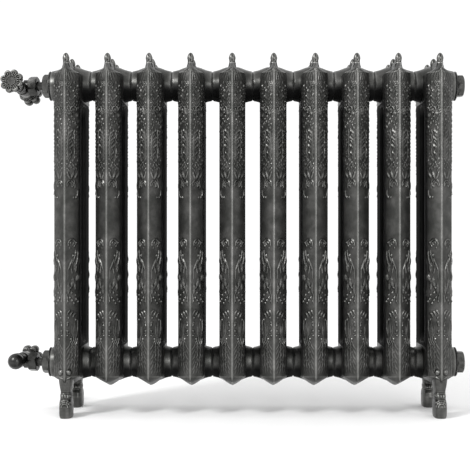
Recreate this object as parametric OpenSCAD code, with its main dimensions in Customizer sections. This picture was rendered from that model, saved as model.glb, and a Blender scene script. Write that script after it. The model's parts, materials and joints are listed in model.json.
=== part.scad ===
// Ornate two-column cast-iron radiator with a pair of angle valves on its left end.
// Millimetres. X runs along the row of sections, -Y faces the room and +Z is up.
// The origin is on the floor, under the middle of the whole assembly.

/* [Sections] */
// Number of cast sections in the row
section_count = 10; // [2:1:12]
// Distance between the middles of neighbouring sections
section_pitch = 87.5; // [84:0.5:110]
// Depth of a section from its front ridge to its rear ridge
section_depth = 185; // [160:1:225]
// Height of the lower hub axis above the floor
lower_hub_z = 108; // [105:1:135]
// Distance between the lower and the upper hub axis
hub_spacing = 600; // [350:1:900]
// Width of a column at its widest line
column_w = 54.6; // [50:0.1:62]
// Width of a column at the corners of the slot
column_corner_w = 48.6; // [44:0.1:49.5]
// Width of a column where its carved facets end
facet_w = 48; // [42:0.1:49.5]
// Width of the flat land along the front and rear ridges
ridge_land = 5; // [3:0.1:8]
// Depth of the carved facets behind the ridge
facet_depth = 21; // [16:0.5:26]
// Distance from the ridge back to the widest line
widest_depth = 39; // [32:0.5:46]
// Depth of the open slot between the two columns
slot_depth = 49; // [30:1:60]
// Iron left above and below the hubs before the slot begins
slot_margin = 8; // [4:0.5:20]
// Thickness of the casting's walls
wall = 4.5; // [3.5:0.1:6]

/* [Hubs] */
// Radius of a hub at its machined face
hub_face_r = 32.6; // [30:0.1:35]
// Radius of a hub where it leaves the column
hub_root_r = 35; // [34:0.1:40]
// Length of the tapped stretch in each hub face
tapped_depth = 15; // [12:0.5:15.5]
// Outer radius of the nipple, bush and plug threads
thread_r = 20.95; // [18:0.05:22]
// Radial clearance of a screwed or sliding fit
fit = 0.05; // [0.02:0.01:0.1]
// Radius of the water chamber inside a hub
chamber_r = 26.5; // [24:0.1:27]

/* [Crest] */
// Rise of the roof from the hub's top to the foot of the crest
roof_rise = 4.4; // [3:0.1:8]
// Drop of the roof at the sides of a section below the foot of the crest
shoulder_drop = 19; // [8:0.5:24]
// Height of the buds above the foot of the crest
bud_h = 23; // [15:0.5:28]
// Width of a bud at its fullest
bud_w = 14; // [10:0.5:18]
// Distance from the ridge back to the middle of the outer buds
bud_inset = 20; // [15:1:30]
// Thickness of the scalloped web between the buds
crest_t = 5; // [4:0.5:8]

/* [Feet] */
// Width of a foot at its toe
toe_w = 31.5; // [26:0.5:36]
// Width of a foot at its waist
waist_w = 23; // [18:0.5:26]
// Width of a foot at its knee
knee_w = 29; // [25:0.5:34]
// Depth of a foot at its toe
toe_depth = 52; // [44:1:60]

/* [Gaskets and nipples] */
// Thickness of a gasket between two sections
joint_gasket_t = 1; // [0.8:0.1:2]
// Thickness of a gasket under a bush or a plug
end_gasket_t = 1.5; // [1:0.1:3]
// Outer radius of the gaskets
gasket_r = 30; // [26:0.5:31]
// Length of a nipple
nipple_len = 28; // [22:0.5:29]
// Bore radius of a nipple
nipple_bore_r = 16.5; // [14:0.5:17]

/* [Bushes and plugs] */
// Radius of the rim of a bush or a plug
rim_r = 32; // [28:0.5:33]
// Thickness of the rim
rim_t = 4; // [3:0.5:6]
// Width across the flats of the large hexagons
plug_af = 44; // [38:0.5:50]
// Length of the hexagon on a reducing bush
bush_hex_len = 13; // [10:0.5:18]
// Length of the hexagon on a blind plug
plug_hex_len = 15.1; // [12:0.1:20]
// Length of the thread on a bush or a plug
plug_thread_len = 14; // [10:0.5:14.5]
// Radius of the air vent screw
vent_r = 4; // [3:0.1:5]

/* [Valves] */
// Angle by which each valve sits out of square in its ball seat
valve_yaw = 6.5; // [0:0.5:7]
// Angle by which the feed valve's wheel is rolled upwards
feed_roll = 5; // [0:0.5:7]
// Angle by which the return valve's cap is rolled upwards
return_roll = 0; // [0:0.5:7]
// Distance between the outlet's axis and the spindle's axis
outlet_offset = 6.5; // [0:0.5:8]
// Outer radius of the tail pipe
tail_r = 9.35; // [8.5:0.05:9.6]
// Length of tail pipe showing between the bush and the union nut
tail_gap = 11.3; // [9:0.1:20]
// Radius of the half-inch thread on the tail pipe
tail_thread_r = 10.4; // [10:0.05:11]
// Radius of the ball end of the tail pipe
ball_r = 10.5; // [10:0.1:10.8]
// Water way radius through the tail pipe
waterway_r = 6.5; // [5:0.1:6.8]
// Width across the flats of the union nut
union_af = 37; // [36:0.5:42]
// Length of the union nut
union_len = 18.7; // [18:0.1:24]
// Outer radius of the union thread on the valve body
union_thread_r = 14; // [13.8:0.1:15]
// Radius of the valve body
valve_body_r = 14.5; // [14:0.1:16]

/* [Headwork] */
// Outer radius of the bonnet's thread in the valve body
bonnet_thread_r = 10; // [9:0.1:10.5]
// Width across the flats of the bonnet
bonnet_af = 24; // [22:0.5:26]
// Radius of the bonnet's neck
neck_r = 9; // [8:0.1:9.4]
// Width across the flats of the gland nut
gland_af = 22; // [21.5:0.5:23]
// Radius of the spindle
spindle_r = 4; // [3.5:0.1:4.5]
// Radius of the valve seat's hole
seat_r = 5.5; // [4:0.1:6]
// Lift of the disc from closed to fully open
disc_lift = 4.5; // [3:0.1:4.6]

/* [Handwheel and cap] */
// Outer radius of the handwheel's lobed rim
wheel_r = 24.4; // [20:0.1:28]
// Outer radius of the handwheel's rear tier of lobes
wheel_tier_r = 20; // [16:0.1:22]
// Number of lobes on the handwheel
lobe_count = 8; // [6:1:12]
// Number of lobes on the inlet nuts
inlet_lobe_count = 6; // [5:1:12]
// Distance from the valve's middle to the handwheel's front face
wheel_face = 80; // [76:1:90]
// Outer radius of the lockshield cap
cap_r = 17; // [16:0.1:20]

/* [Pipe connection] */
// Radius of the supply pipe that the inlets take
pipe_r = 7.5; // [7:0.5:8]
// Radial clearance around the supply pipe
pipe_clearance = 0.1; // [0.05:0.05:0.2]
// Outer radius of the inlet thread on the valve body
inlet_thread_r = 11; // [10.8:0.1:12]
// Distance from the valve's middle to the inlet nut's rear face
inlet_face = 62; // [58:1:70]

/* [Hidden] */
$fn = 96;
iron = [0.27, 0.27, 0.26];
iron_bright = [0.36, 0.36, 0.35];
gasket_grey = [0.10, 0.10, 0.10];
brass = [0.72, 0.58, 0.30];
steel = [0.55, 0.56, 0.58];
fibre = [0.55, 0.18, 0.14];

upper_hub_z = lower_hub_z + hub_spacing;
hub_w = section_pitch - joint_gasket_t;
hub_end_x = (section_count - 1) * section_pitch / 2 + hub_w / 2;
half_depth = section_depth / 2;
column_depth = (section_depth - slot_depth) / 2;
slot_low_z = lower_hub_z + hub_root_r + slot_margin;
slot_high_z = upper_hub_z - hub_root_r - slot_margin;
crest_z = upper_hub_z + hub_face_r + roof_rise;
keel_drop = 40;
keel_rise = 14;
tip_z = lower_hub_z - keel_drop;
shoulder_z = tip_z + keel_rise;
bore_overlap = 14;

body_reach = valve_body_r + union_len / 2 - 0.35;
nut_neck_r = valve_body_r - 0.95;

rim_x = hub_end_x + end_gasket_t;
bush_end_x = rim_x + rim_t + bush_hex_len;
plug_end_x = rim_x + rim_t + plug_hex_len;
ball_x = bush_end_x + tail_gap + union_len / 2 + 0.3;
left_reach = ball_x + body_reach * cos(valve_yaw) + wheel_face * sin(valve_yaw)
    + wheel_r * cos(valve_yaw);
frame_x = round((left_reach - plug_end_x) * 2) / 4;

thread_bore_r = thread_r + fit;
pipe_bore_r = pipe_r + pipe_clearance;
inlet_bore_r = inlet_thread_r + fit;
spindle_bore_r = spindle_r + fit;

body_front = -20;
body_rear = 30;
seat_y = 8;
bonnet_inner = -disc_lift - 3.5;
neck_end = -40;
packing_depth = 5;
gland_front = neck_end - 4;
gland_rear = -32;
thread_end = 1.5;
drive_r = 3;
seat_cone = 30;
boss_start_x = 3;
cone_tip_x = body_reach - (ball_r + 0.1) / sin(seat_cone);

function two(i) = i < 10 ? str("0", i) : str(i);
function section_name(i) = str("section_", two(i));
function section_x(i) = (i - (section_count + 1) / 2) * section_pitch;
function joint_x(i) = section_x(i) + section_pitch / 2;

// ---------- shared shapes ----------

// A solid of revolution about Y; each point is [radius, y].
module turned_y(points) {
    rotate([-90, 0, 0]) rotate_extrude() polygon(points);
}

// A solid of revolution about X; each point is [radius, x].
module turned_x(points) {
    rotate([0, 90, 0]) rotate_extrude() polygon(points);
}

// A ring about Y from y0 to y1.
module ring_y(outer, inner, y0, y1) {
    turned_y([[inner, y0], [outer, y0], [outer, y1], [inner, y1]]);
}

// A ring about X from x0 to x1.
module ring_x(outer, inner, x0, x1) {
    turned_x([[inner, x0], [outer, x0], [outer, x1], [inner, x1]]);
}

// A hexagonal prism along Z with its corners turned back by a 30 degree chamfer at both ends.
module hex_bar(af, len) {
    corner = af / sqrt(3);
    bevel = (corner - af / 2) * tan(30) * 1.6;
    intersection() {
        cylinder(h = len, r = corner, $fn = 6);
        rotate_extrude() polygon([
            [0, 0], [af / 2 - 0.4, 0], [corner + 0.2, bevel],
            [corner + 0.2, len - bevel], [af / 2 - 0.4, len], [0, len]
        ]);
    }
}

// A hexagonal prism along X from x0, turned about its axis.
module hex_x(af, x0, len, turn = 0) {
    translate([x0, 0, 0]) rotate([0, 90, 0]) rotate([0, 0, turn]) hex_bar(af, len);
}

// A hexagonal prism along Y from y0, turned about its axis.
module hex_y(af, y0, len, turn = 0) {
    translate([0, y0, 0]) rotate([-90, 0, 0]) rotate([0, 0, turn]) hex_bar(af, len);
}

// A plate with a lobed rim about Y from y0 to y1.
module lobed_plate(outer, y0, y1, lobes) {
    lobe_r = outer * sin(180 / lobes) / (1 + sin(180 / lobes)) * 1.12;
    rotate([-90, 0, 0]) translate([0, 0, y0]) linear_extrude(y1 - y0) union() {
        circle(r = outer - lobe_r);
        for (i = [0:lobes - 1])
            rotate(i * 360 / lobes) translate([outer - lobe_r, 0]) circle(r = lobe_r);
    }
}

// ---------- section castings ----------

// One half of a column's outline, from the ridge back, drawn in by inset.
function column_side(inset) = [
    [ridge_land / 2, inset * 1.5],
    [facet_w / 2 - inset * 0.9, facet_depth + inset * 0.6],
    [column_w / 2 - inset, widest_depth],
    [column_corner_w / 2 - inset, column_depth - inset]
];

function mirrored_x(points) = [for (i = [len(points) - 1:-1:0]) [-points[i][0], points[i][1]]];

// The outline of the front column in plan, set at the section's front.
module column_outline(inset) {
    side = column_side(inset);
    translate([0, -half_depth]) polygon(concat(side, mirrored_x(side)));
}

// The outline of the closed head around a hub, ridge to ridge.
module head_outline() {
    front = [for (p = column_side(0)) if (p[1] <= widest_depth) [p[0], p[1] - half_depth]];
    rear = [for (i = [len(front) - 1:-1:0]) [front[i][0], -front[i][1]]];
    side = concat(front, rear);
    polygon(concat(side, mirrored_x(side)));
}

// The outline seen from the front: a pointed foot below and sloping shoulders above.
module elevation_outline() {
    half_w = column_w / 2 + 1;
    right = [
        [ridge_land / 2, tip_z],
        [half_w * 0.5, tip_z + 5],
        [half_w, shoulder_z],
        [half_w, crest_z - shoulder_drop],
        [half_w * 0.72, crest_z - shoulder_drop * 0.5],
        [half_w * 0.4, crest_z - shoulder_drop * 0.12],
        [ridge_land / 2, crest_z]
    ];
    polygon(concat(right, mirrored_x(right)));
}

// The slot through the section, with round ends.
module slot_cut() {
    r = slot_depth / 2;
    rotate([90, 0, 90]) linear_extrude(section_pitch, center = true) union() {
        translate([-r, slot_low_z + r]) square([slot_depth, slot_high_z - slot_low_z - slot_depth]);
        translate([0, slot_low_z + r]) circle(r = r);
        translate([0, slot_high_z - r]) circle(r = r);
    }
}

// The hub at height z, with a shallow band beside each machined face.
module hub(z) {
    band = 1;
    translate([0, 0, z]) turned_x([
        [0, -hub_w / 2], [hub_face_r, -hub_w / 2], [hub_face_r + band, -hub_w / 2 + 4],
        [hub_face_r + 0.4, -hub_w / 2 + 6], [hub_root_r, -hub_w / 2 + 15],
        [hub_root_r, hub_w / 2 - 15], [hub_face_r + 0.4, hub_w / 2 - 6],
        [hub_face_r + band, hub_w / 2 - 4], [hub_face_r, hub_w / 2], [0, hub_w / 2]
    ]);
}

// The tapped bore and the water chamber of the hub at height z.
module hub_bore(z) {
    translate([0, 0, z]) {
        turned_x([
            [0, -hub_w / 2 - 1], [thread_bore_r, -hub_w / 2 - 1],
            [thread_bore_r, -hub_w / 2 + tapped_depth], [chamber_r, -hub_w / 2 + tapped_depth + 4],
            [chamber_r, hub_w / 2 - tapped_depth - 4], [thread_bore_r, hub_w / 2 - tapped_depth],
            [thread_bore_r, hub_w / 2 + 1], [0, hub_w / 2 + 1]
        ]);
        rotate([90, 0, 0]) cylinder(h = section_depth - 2 * widest_depth, r = column_corner_w / 2 - wall,
            center = true);
    }
}

// The water ways down both columns.
module column_bores() {
    for (turn = [0, 180])
        rotate(turn) translate([0, 0, lower_hub_z - bore_overlap])
            linear_extrude(hub_spacing + 2 * bore_overlap) column_outline(wall);
}

// A pointed bud standing on the crest at y.
module bud(y) {
    r = bud_w / 2;
    translate([0, y, crest_z - 3]) rotate_extrude() polygon([
        [0, 0], [r * 0.72, 0], [r * 0.66, 4], [r, bud_h * 0.42], [r * 0.98, bud_h * 0.58],
        [r * 0.8, bud_h * 0.8], [r * 0.45, bud_h], [r * 0.2, bud_h + 2.6], [0, bud_h + 3]
    ]);
}

// The scalloped web and its three buds.
module crest() {
    span = half_depth - bud_inset;
    dip_r = span * 0.62;
    difference() {
        translate([-crest_t / 2, -span, crest_z - 6]) cube([crest_t, 2 * span, bud_h * 0.62 + 6]);
        for (side = [-1, 1])
            translate([0, side * span / 2, crest_z + dip_r + 2])
                rotate([0, 90, 0]) cylinder(h = 4 * crest_t, r = dip_r, center = true);
    }
    for (y = [-span, 0, span]) bud(y);
}

// Points eased along a list of [height, value] knots.
function eased(knots, steps = 4) = concat(
    [for (i = [0:len(knots) - 2], k = [0:steps - 1])
        let (t = k / steps, s = (1 - cos(180 * t)) / 2)
        [knots[i][0] + (knots[i + 1][0] - knots[i][0]) * t,
         knots[i][1] + (knots[i + 1][1] - knots[i][1]) * s]],
    [knots[len(knots) - 1]]
);

// The foot under the front column: its front and side outlines cut from each other.
module foot() {
    knee_z = shoulder_z - 3;
    top_z = lower_hub_z - 10;
    front = eased([
        [0, toe_w / 2 - 2.8], [24, toe_w / 2], [knee_z * 0.64, waist_w / 2],
        [knee_z, knee_w / 2], [top_z, knee_w / 2 + 0.5]
    ]);
    toe = eased([[0, 3], [24, 0.2], [knee_z * 0.64, 10], [knee_z, 5], [top_z, 8]]);
    heel = eased([
        [0, toe_depth - 4], [24, toe_depth], [knee_z * 0.64, toe_depth - 10],
        [knee_z, toe_depth], [top_z, toe_depth]
    ]);
    front_left = [for (i = [len(front) - 1:-1:0]) [-front[i][1], front[i][0]]];
    heel_back = [for (i = [len(heel) - 1:-1:0]) [heel[i][1], heel[i][0]]];
    toe_up = [for (p = toe) [p[1], p[0]]];
    intersection() {
        translate([0, half_depth, 0]) rotate([90, 0, 0]) linear_extrude(section_depth)
            polygon(concat([for (p = front) [p[1], p[0]]], front_left));
        translate([-toe_w, -half_depth, 0]) rotate([90, 0, 90]) linear_extrude(2 * toe_w)
            polygon(concat(toe_up, heel_back));
    }
}

// A whole casting; the two end sections carry feet.
module section(i) {
    footed = i == 1 || i == section_count;
    color(iron) translate([frame_x + section_x(i), 0, 0]) difference() {
        union() {
            intersection() {
                difference() {
                    linear_extrude(crest_z) head_outline();
                    slot_cut();
                    translate([0, 0, slot_low_z + slot_depth / 2])
                        linear_extrude(slot_high_z - slot_low_z - slot_depth) slot_corners();
                }
                translate([0, half_depth, 0]) rotate([90, 0, 0]) linear_extrude(section_depth)
                    elevation_outline();
            }
            hub(lower_hub_z);
            hub(upper_hub_z);
            crest();
            if (footed) for (turn = [0, 180]) rotate(turn) foot();
        }
        hub_bore(lower_hub_z);
        hub_bore(upper_hub_z);
        column_bores();
    }
}

// The four slivers that narrow the columns towards the slot.
module slot_corners() {
    for (sx = [-1, 1], sy = [-1, 1])
        scale([sx, sy]) polygon([
            [column_w / 2, widest_depth - half_depth], [column_w, widest_depth - half_depth],
            [column_w, 0], [0, 0], [0, column_depth - half_depth],
            [column_corner_w / 2, column_depth - half_depth]
        ]);
}

// ---------- nipples and gaskets ----------

// A barrel nipple with two driving lugs inside its bore.
module nipple() {
    lug = 3;
    ring_x(thread_r, nipple_bore_r, -nipple_len / 2, nipple_len / 2);
    for (side = [-1, 1]) translate([0, 0, side * (nipple_bore_r - lug / 2 + 0.5)])
        cube([nipple_len, 2 * lug, lug + 1], center = true);
}

module nipples(z) {
    color(steel) for (i = [1:section_count - 1]) translate([frame_x + joint_x(i), 0, z]) nipple();
}

module joint_gaskets(z) {
    color(gasket_grey) for (i = [1:section_count - 1]) translate([frame_x + joint_x(i), 0, z])
        ring_x(gasket_r, thread_r + 0.25, -joint_gasket_t / 2, joint_gasket_t / 2);
}

// Places its children at a hub end; side is -1 on the left and 1 on the right.
module at_end(side, z) {
    translate([frame_x, 0, z]) mirror([side < 0 ? 1 : 0, 0, 0]) children();
}

module end_gasket(side, z) {
    color(gasket_grey) at_end(side, z) ring_x(gasket_r, thread_r + 0.25, hub_end_x, rim_x);
}

// ---------- bushes and plugs ----------

// The rim and thread that bushes and plugs share.
module plug_shank() {
    turned_x([
        [0, hub_end_x - plug_thread_len], [thread_r - 1, hub_end_x - plug_thread_len],
        [thread_r, hub_end_x - plug_thread_len + 1], [thread_r, rim_x],
        [rim_r - 1, rim_x], [rim_r, rim_x + 1], [rim_r - 0.6, rim_x + rim_t - 1.4],
        [plug_af / 2 + 3.6, rim_x + rim_t], [0, rim_x + rim_t]
    ]);
}

module reducing_bush(z) {
    color(iron_bright) at_end(-1, z) difference() {
        union() {
            plug_shank();
            hex_x(plug_af, rim_x + rim_t - 0.5, bush_hex_len + 0.5, 7);
        }
        turned_x([
            [0, hub_end_x - plug_thread_len - 1], [tail_thread_r - 2, hub_end_x - plug_thread_len - 1],
            [tail_thread_r - 2, rim_x - 1], [tail_thread_r + fit, rim_x],
            [tail_thread_r + fit, bush_end_x + 1], [0, bush_end_x + 1]
        ]);
    }
}

module blind_plug() {
    plug_shank();
    hex_x(plug_af, rim_x + rim_t - 0.5, plug_hex_len + 0.5, 30);
}

module blanking_plug() {
    color(iron_bright) at_end(1, lower_hub_z) blind_plug();
}

vent_seat_x = plug_end_x - 14;
vent_port_r = vent_r * 0.4;

// The plug at the top, bored for the air vent and with a weep hole on its underside.
module air_vent_plug() {
    color(iron_bright) at_end(1, upper_hub_z) difference() {
        blind_plug();
        turned_x([
            [0, hub_end_x - plug_thread_len - 1], [vent_port_r, hub_end_x - plug_thread_len - 1],
            [vent_port_r, vent_seat_x - 2], [vent_r + fit, vent_seat_x],
            [vent_r + fit, plug_end_x - 4], [vent_r + 2.5, plug_end_x - 4],
            [vent_r + 2.5, plug_end_x + 1], [0, plug_end_x + 1]
        ]);
        translate([vent_seat_x + 1, 0, -plug_af / 2 - 1]) cylinder(h = plug_af / 2 + 1, r = 1.2);
    }
}

// The vent screw: a cone that seals and a square end for the bleed key.
module air_vent_screw() {
    square_w = vent_r * 1.2;
    color(brass) at_end(1, upper_hub_z) {
        turned_x([
            [0, vent_seat_x - 1.2], [vent_r - 2, vent_seat_x + 0.4], [vent_r, vent_seat_x + 2.4],
            [vent_r, plug_end_x - 4.5], [0, plug_end_x - 4.5]
        ]);
        translate([plug_end_x - 5, -square_w / 2, -square_w / 2]) cube([4.5, square_w, square_w]);
    }
}

// ---------- valves ----------

// Moves its children from the ball seat's frame to the radiator; kind is "feed" or "return".
module at_ball(kind) {
    z = kind == "feed" ? upper_hub_z : lower_hub_z;
    roll = kind == "feed" ? feed_roll : return_roll;
    translate([frame_x - ball_x, 0, z]) rotate([-roll, 0, -valve_yaw]) children();
}

// Moves its children from the spindle's frame; the outlet's axis lies to one side of it.
module at_spindle(kind) {
    side = kind == "feed" ? -1 : 1;
    at_ball(kind) translate([-body_reach, 0, side * outlet_offset]) children();
}

// The cast body: barrel, disc seat, pipe socket and an outlet boss with a cone seat in its mouth.
module valve_body(kind) {
    side = kind == "feed" ? -1 : 1;
    barrel = valve_body_r - 2;
    color(iron_bright) at_spindle(kind) difference() {
        union() {
            rotate([0, 180, 0]) turned_y([
                [0, body_front], [barrel - 0.5, body_front], [barrel, body_front + 0.8],
                [barrel, -11], [valve_body_r, -8], [valve_body_r, 8], [barrel, 12], [barrel, 15],
                [inlet_thread_r, 15.5], [inlet_thread_r, body_rear], [0, body_rear]
            ]);
            translate([0, 0, -side * outlet_offset])
                ring_x(union_thread_r, 0, boss_start_x, body_reach + 0.4);
        }
        rotate([0, 180, 0]) turned_y([
            [0, body_front - 1], [bonnet_thread_r + fit, body_front - 1],
            [bonnet_thread_r + fit, seat_y], [seat_r, seat_y], [seat_r, seat_y + 6],
            [waterway_r, seat_y + 7], [waterway_r, 18], [pipe_bore_r, 18],
            [pipe_bore_r, body_rear - 2], [pipe_bore_r + 2, body_rear + 1], [0, body_rear + 1]
        ]);
        translate([0, 0, -side * outlet_offset]) turned_x([
            [0, boss_start_x - 1], [waterway_r, boss_start_x - 1],
            [waterway_r, cone_tip_x + waterway_r / tan(seat_cone)],
            [(body_reach + 2 - cone_tip_x) * tan(seat_cone), body_reach + 2], [0, body_reach + 2]
        ]);
    }
}

// The tail pipe: thread in the bush, plain pipe, collar and ball end.
module tail_pipe(kind) {
    z = kind == "feed" ? upper_hub_z : lower_hub_z;
    collar_r = ball_r + 2.1;
    color(iron_bright) translate([frame_x, 0, z]) mirror([1, 0, 0]) difference() {
        union() {
            turned_x([
                [0, rim_x + 0.5], [tail_thread_r, rim_x + 0.5], [tail_thread_r, bush_end_x],
                [tail_r, bush_end_x + 0.6], [tail_r, ball_x - 4.7], [collar_r, ball_x - 4.7],
                [collar_r, ball_x - 2.5], [tail_r, ball_x - 2.5], [tail_r, ball_x], [0, ball_x]
            ]);
            translate([ball_x, 0, 0]) rotate([0, 90, 0]) sphere(r = ball_r);
        }
        ring_x(waterway_r, 0, rim_x - 1, ball_x + ball_r);
        translate([ball_x + 7, -15, -15]) cube([10, 30, 30]);
    }
}

// The union nut, which draws the tail's collar onto the body.
module union_nut(kind) {
    turn = kind == "feed" ? 0 : 12;
    lip_r = tail_r + 1.45;
    start = -union_len / 2;
    color(iron_bright) at_ball(kind) difference() {
        hex_x(union_af, start, union_len, turn);
        turned_x([
            [0, start - 1], [union_thread_r + fit, start - 1], [union_thread_r + fit, 6.3],
            [lip_r, 6.3], [lip_r, union_len], [0, union_len]
        ]);
    }
}

// The decorated inlet nut: a bell with a lobed rim, bored for the supply pipe.
module inlet_nut(kind) {
    bell_r = wheel_r - 5;
    color(iron_bright) at_spindle(kind) difference() {
        union() {
            turned_y([
                [0, 17], [nut_neck_r - 0.6, 17], [nut_neck_r, 18], [nut_neck_r, 24],
                [nut_neck_r + 2, 30], [bell_r, 42],
                [bell_r, inlet_face - 3], [12, inlet_face], [0, inlet_face]
            ]);
            lobed_plate(wheel_r, inlet_face - 18, inlet_face - 4, inlet_lobe_count);
            lobed_plate(wheel_tier_r, inlet_face - 28, inlet_face - 20, inlet_lobe_count);
        }
        turned_y([
            [0, 16], [inlet_bore_r, 16], [inlet_bore_r, body_rear + 3.5],
            [pipe_bore_r, body_rear + 7], [pipe_bore_r, inlet_face + 1], [0, inlet_face + 1]
        ]);
    }
}

// The olive that the inlet nut squeezes onto the pipe.
module olive(kind) {
    color(brass) at_spindle(kind) turned_y([
        [pipe_bore_r, body_rear + 0.2], [pipe_bore_r + 1, body_rear + 0.2],
        [inlet_bore_r - 0.9, body_rear + 2], [inlet_bore_r - 0.9, body_rear + 3.2],
        [pipe_bore_r + 0.8, body_rear + 5.7], [pipe_bore_r, body_rear + 5.7]
    ]);
}

// The bonnet screwed into the body, with the packing chamber in its neck.
module bonnet(kind) {
    color(iron_bright) at_spindle(kind) difference() {
        union() {
            ring_y(bonnet_thread_r, 0, body_front - 0.5, bonnet_inner);
            hex_y(bonnet_af, body_front - 8, 8, 20);
            ring_y(neck_r, 0, neck_end, body_front - 7);
        }
        turned_y([
            [0, neck_end - 1], [spindle_bore_r + 2.4, neck_end - 1],
            [spindle_bore_r + 2.4, neck_end + packing_depth], [spindle_bore_r, neck_end + packing_depth],
            [spindle_bore_r, bonnet_inner + 1], [0, bonnet_inner + 1]
        ]);
    }
}

module packing(kind) {
    color(gasket_grey) at_spindle(kind)
        ring_y(spindle_bore_r + 2.35, spindle_bore_r, neck_end, neck_end + packing_depth);
}

// The gland nut, screwed over the bonnet's neck.
module gland_nut(kind) {
    color(iron_bright) at_spindle(kind) difference() {
        hex_y(gland_af, gland_front, gland_rear - gland_front, 8);
        turned_y([
            [0, gland_front - 1], [spindle_bore_r + 0.3, gland_front - 1],
            [spindle_bore_r + 0.3, neck_end], [neck_r + fit, neck_end],
            [neck_r + fit, gland_rear + 1], [0, gland_rear + 1]
        ]);
    }
}

// The turned part of a spindle, from its outer end to the screw that drives the disc.
module spindle_bar(outer_end) {
    collar_r = spindle_r + 2;
    turned_y([
        [0, outer_end], [spindle_r, outer_end], [spindle_r, bonnet_inner + 0.3],
        [collar_r, bonnet_inner + 0.3], [collar_r, bonnet_inner + 2.8],
        [drive_r, bonnet_inner + 2.8], [drive_r, thread_end], [0, thread_end]
    ]);
}

wheel_screw_r = 2;
spindle_end = -wheel_face + 6;

module feed_spindle() {
    color(steel) at_spindle("feed") difference() {
        spindle_bar(spindle_end);
        ring_y(wheel_screw_r + fit, 0, spindle_end - 1, spindle_end + 10);
    }
}

// The lockshield spindle ends in a square for the key.
module return_spindle() {
    square_w = spindle_r * 1.35;
    color(steel) at_spindle("return") {
        spindle_bar(neck_end - 10);
        translate([-square_w / 2, neck_end - 16, -square_w / 2]) cube([square_w, 7, square_w]);
    }
}

// The disc carrier, threaded on the spindle and drawn back by it.
module disc(kind) {
    color(brass) at_spindle(kind) turned_y([
        [drive_r + fit, -0.2], [5.4, -0.2], [5.4, 4.2], [8, 4.2], [8, 6.2], [4.4, 6.2],
        [4.4, seat_y - 0.3], [0, seat_y - 0.3], [0, 6.6], [drive_r + fit, 6.6]
    ]);
}

module disc_washer(kind) {
    color(fibre) at_spindle(kind) ring_y(seat_r + 2, 4.4 + fit, 6.2, seat_y - 0.3);
}

// The handwheel: a lobed front rosette, a smaller tier behind it and a hub for the spindle.
module feed_handwheel() {
    front = -wheel_face;
    color(iron_bright) at_spindle("feed") difference() {
        union() {
            lobed_plate(wheel_r, front, front + 13, lobe_count);
            turned_y([
                [0, front + 12], [wheel_r - 9, front + 12], [wheel_r - 11, front + 18],
                [wheel_tier_r - 6, front + 26], [9, front + 30], [0, front + 30]
            ]);
            lobed_plate(wheel_tier_r, front + 16, front + 25, lobe_count);
        }
        turned_y([
            [0, front - 1], [8.6, front - 1], [8.6, front + 1], [wheel_screw_r + fit, front + 1],
            [wheel_screw_r + fit, spindle_end - 0.1], [spindle_r + 0.02, spindle_end - 0.1],
            [spindle_r + 0.02, front + 31], [0, front + 31]
        ]);
    }
}

// The screw that holds the wheel, with a broad flat head.
module feed_handwheel_screw() {
    front = -wheel_face;
    color(iron_bright) at_spindle("feed") turned_y([
        [0, front], [7.6, front], [8.4, front + 0.6], [8.4, front + 1],
        [wheel_screw_r, front + 1], [wheel_screw_r, spindle_end + 8], [0, spindle_end + 8]
    ]);
}

// The domed lockshield cap, pushed over the gland nut's corners.
module lockshield_cap() {
    grip_r = gland_af / sqrt(3) + 0.3;
    middle = -50;
    color(iron_bright) at_spindle("return") difference() {
        union() {
            translate([0, middle, 0]) rotate([90, 0, 0]) sphere(r = cap_r);
            turned_y([
                [0, middle], [cap_r, middle], [cap_r, middle + 4], [cap_r - 1.4, middle + 9],
                [cap_r - 1.4, gland_rear - 3], [0, gland_rear - 3]
            ]);
        }
        turned_y([
            [0, middle - 11], [4, middle - 11], [grip_r - 5, middle - 8], [grip_r, middle + 4],
            [grip_r, gland_rear], [0, gland_rear]
        ]);
    }
}

// ---------- the assembly ----------

for (i = [1:section_count]) section(i);
nipples(lower_hub_z);  // nipples_bottom
nipples(upper_hub_z);  // nipples_top
joint_gaskets(lower_hub_z);  // joint_gaskets_bottom
joint_gaskets(upper_hub_z);  // joint_gaskets_top
end_gasket(-1, lower_hub_z);  // end_gasket_bottom_left
end_gasket(-1, upper_hub_z);  // end_gasket_top_left
end_gasket(1, lower_hub_z);  // end_gasket_bottom_right
end_gasket(1, upper_hub_z);  // end_gasket_top_right
reducing_bush(lower_hub_z);  // reducing_bush_bottom
reducing_bush(upper_hub_z);  // reducing_bush_top
blanking_plug();
air_vent_plug();
air_vent_screw();
valve_body("feed");  // feed_valve_body
tail_pipe("feed");  // feed_tail_pipe
union_nut("feed");  // feed_union_nut
inlet_nut("feed");  // feed_inlet_nut
olive("feed");  // feed_olive
bonnet("feed");  // feed_bonnet
packing("feed");  // feed_packing
gland_nut("feed");  // feed_gland_nut
feed_spindle();
disc("feed");  // feed_disc
disc_washer("feed");  // feed_disc_washer
feed_handwheel();
feed_handwheel_screw();
valve_body("return");  // return_valve_body
tail_pipe("return");  // return_tail_pipe
union_nut("return");  // return_union_nut
inlet_nut("return");  // return_inlet_nut
olive("return");  // return_olive
bonnet("return");  // return_bonnet
packing("return");  // return_packing
gland_nut("return");  // return_gland_nut
return_spindle();
disc("return");  // return_disc
disc_washer("return");  // return_disc_washer
lockshield_cap();
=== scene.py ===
import json
import math
from functools import partial

import bmesh
import bpy
import numpy as np
from mathutils import Matrix, Vector


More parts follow.
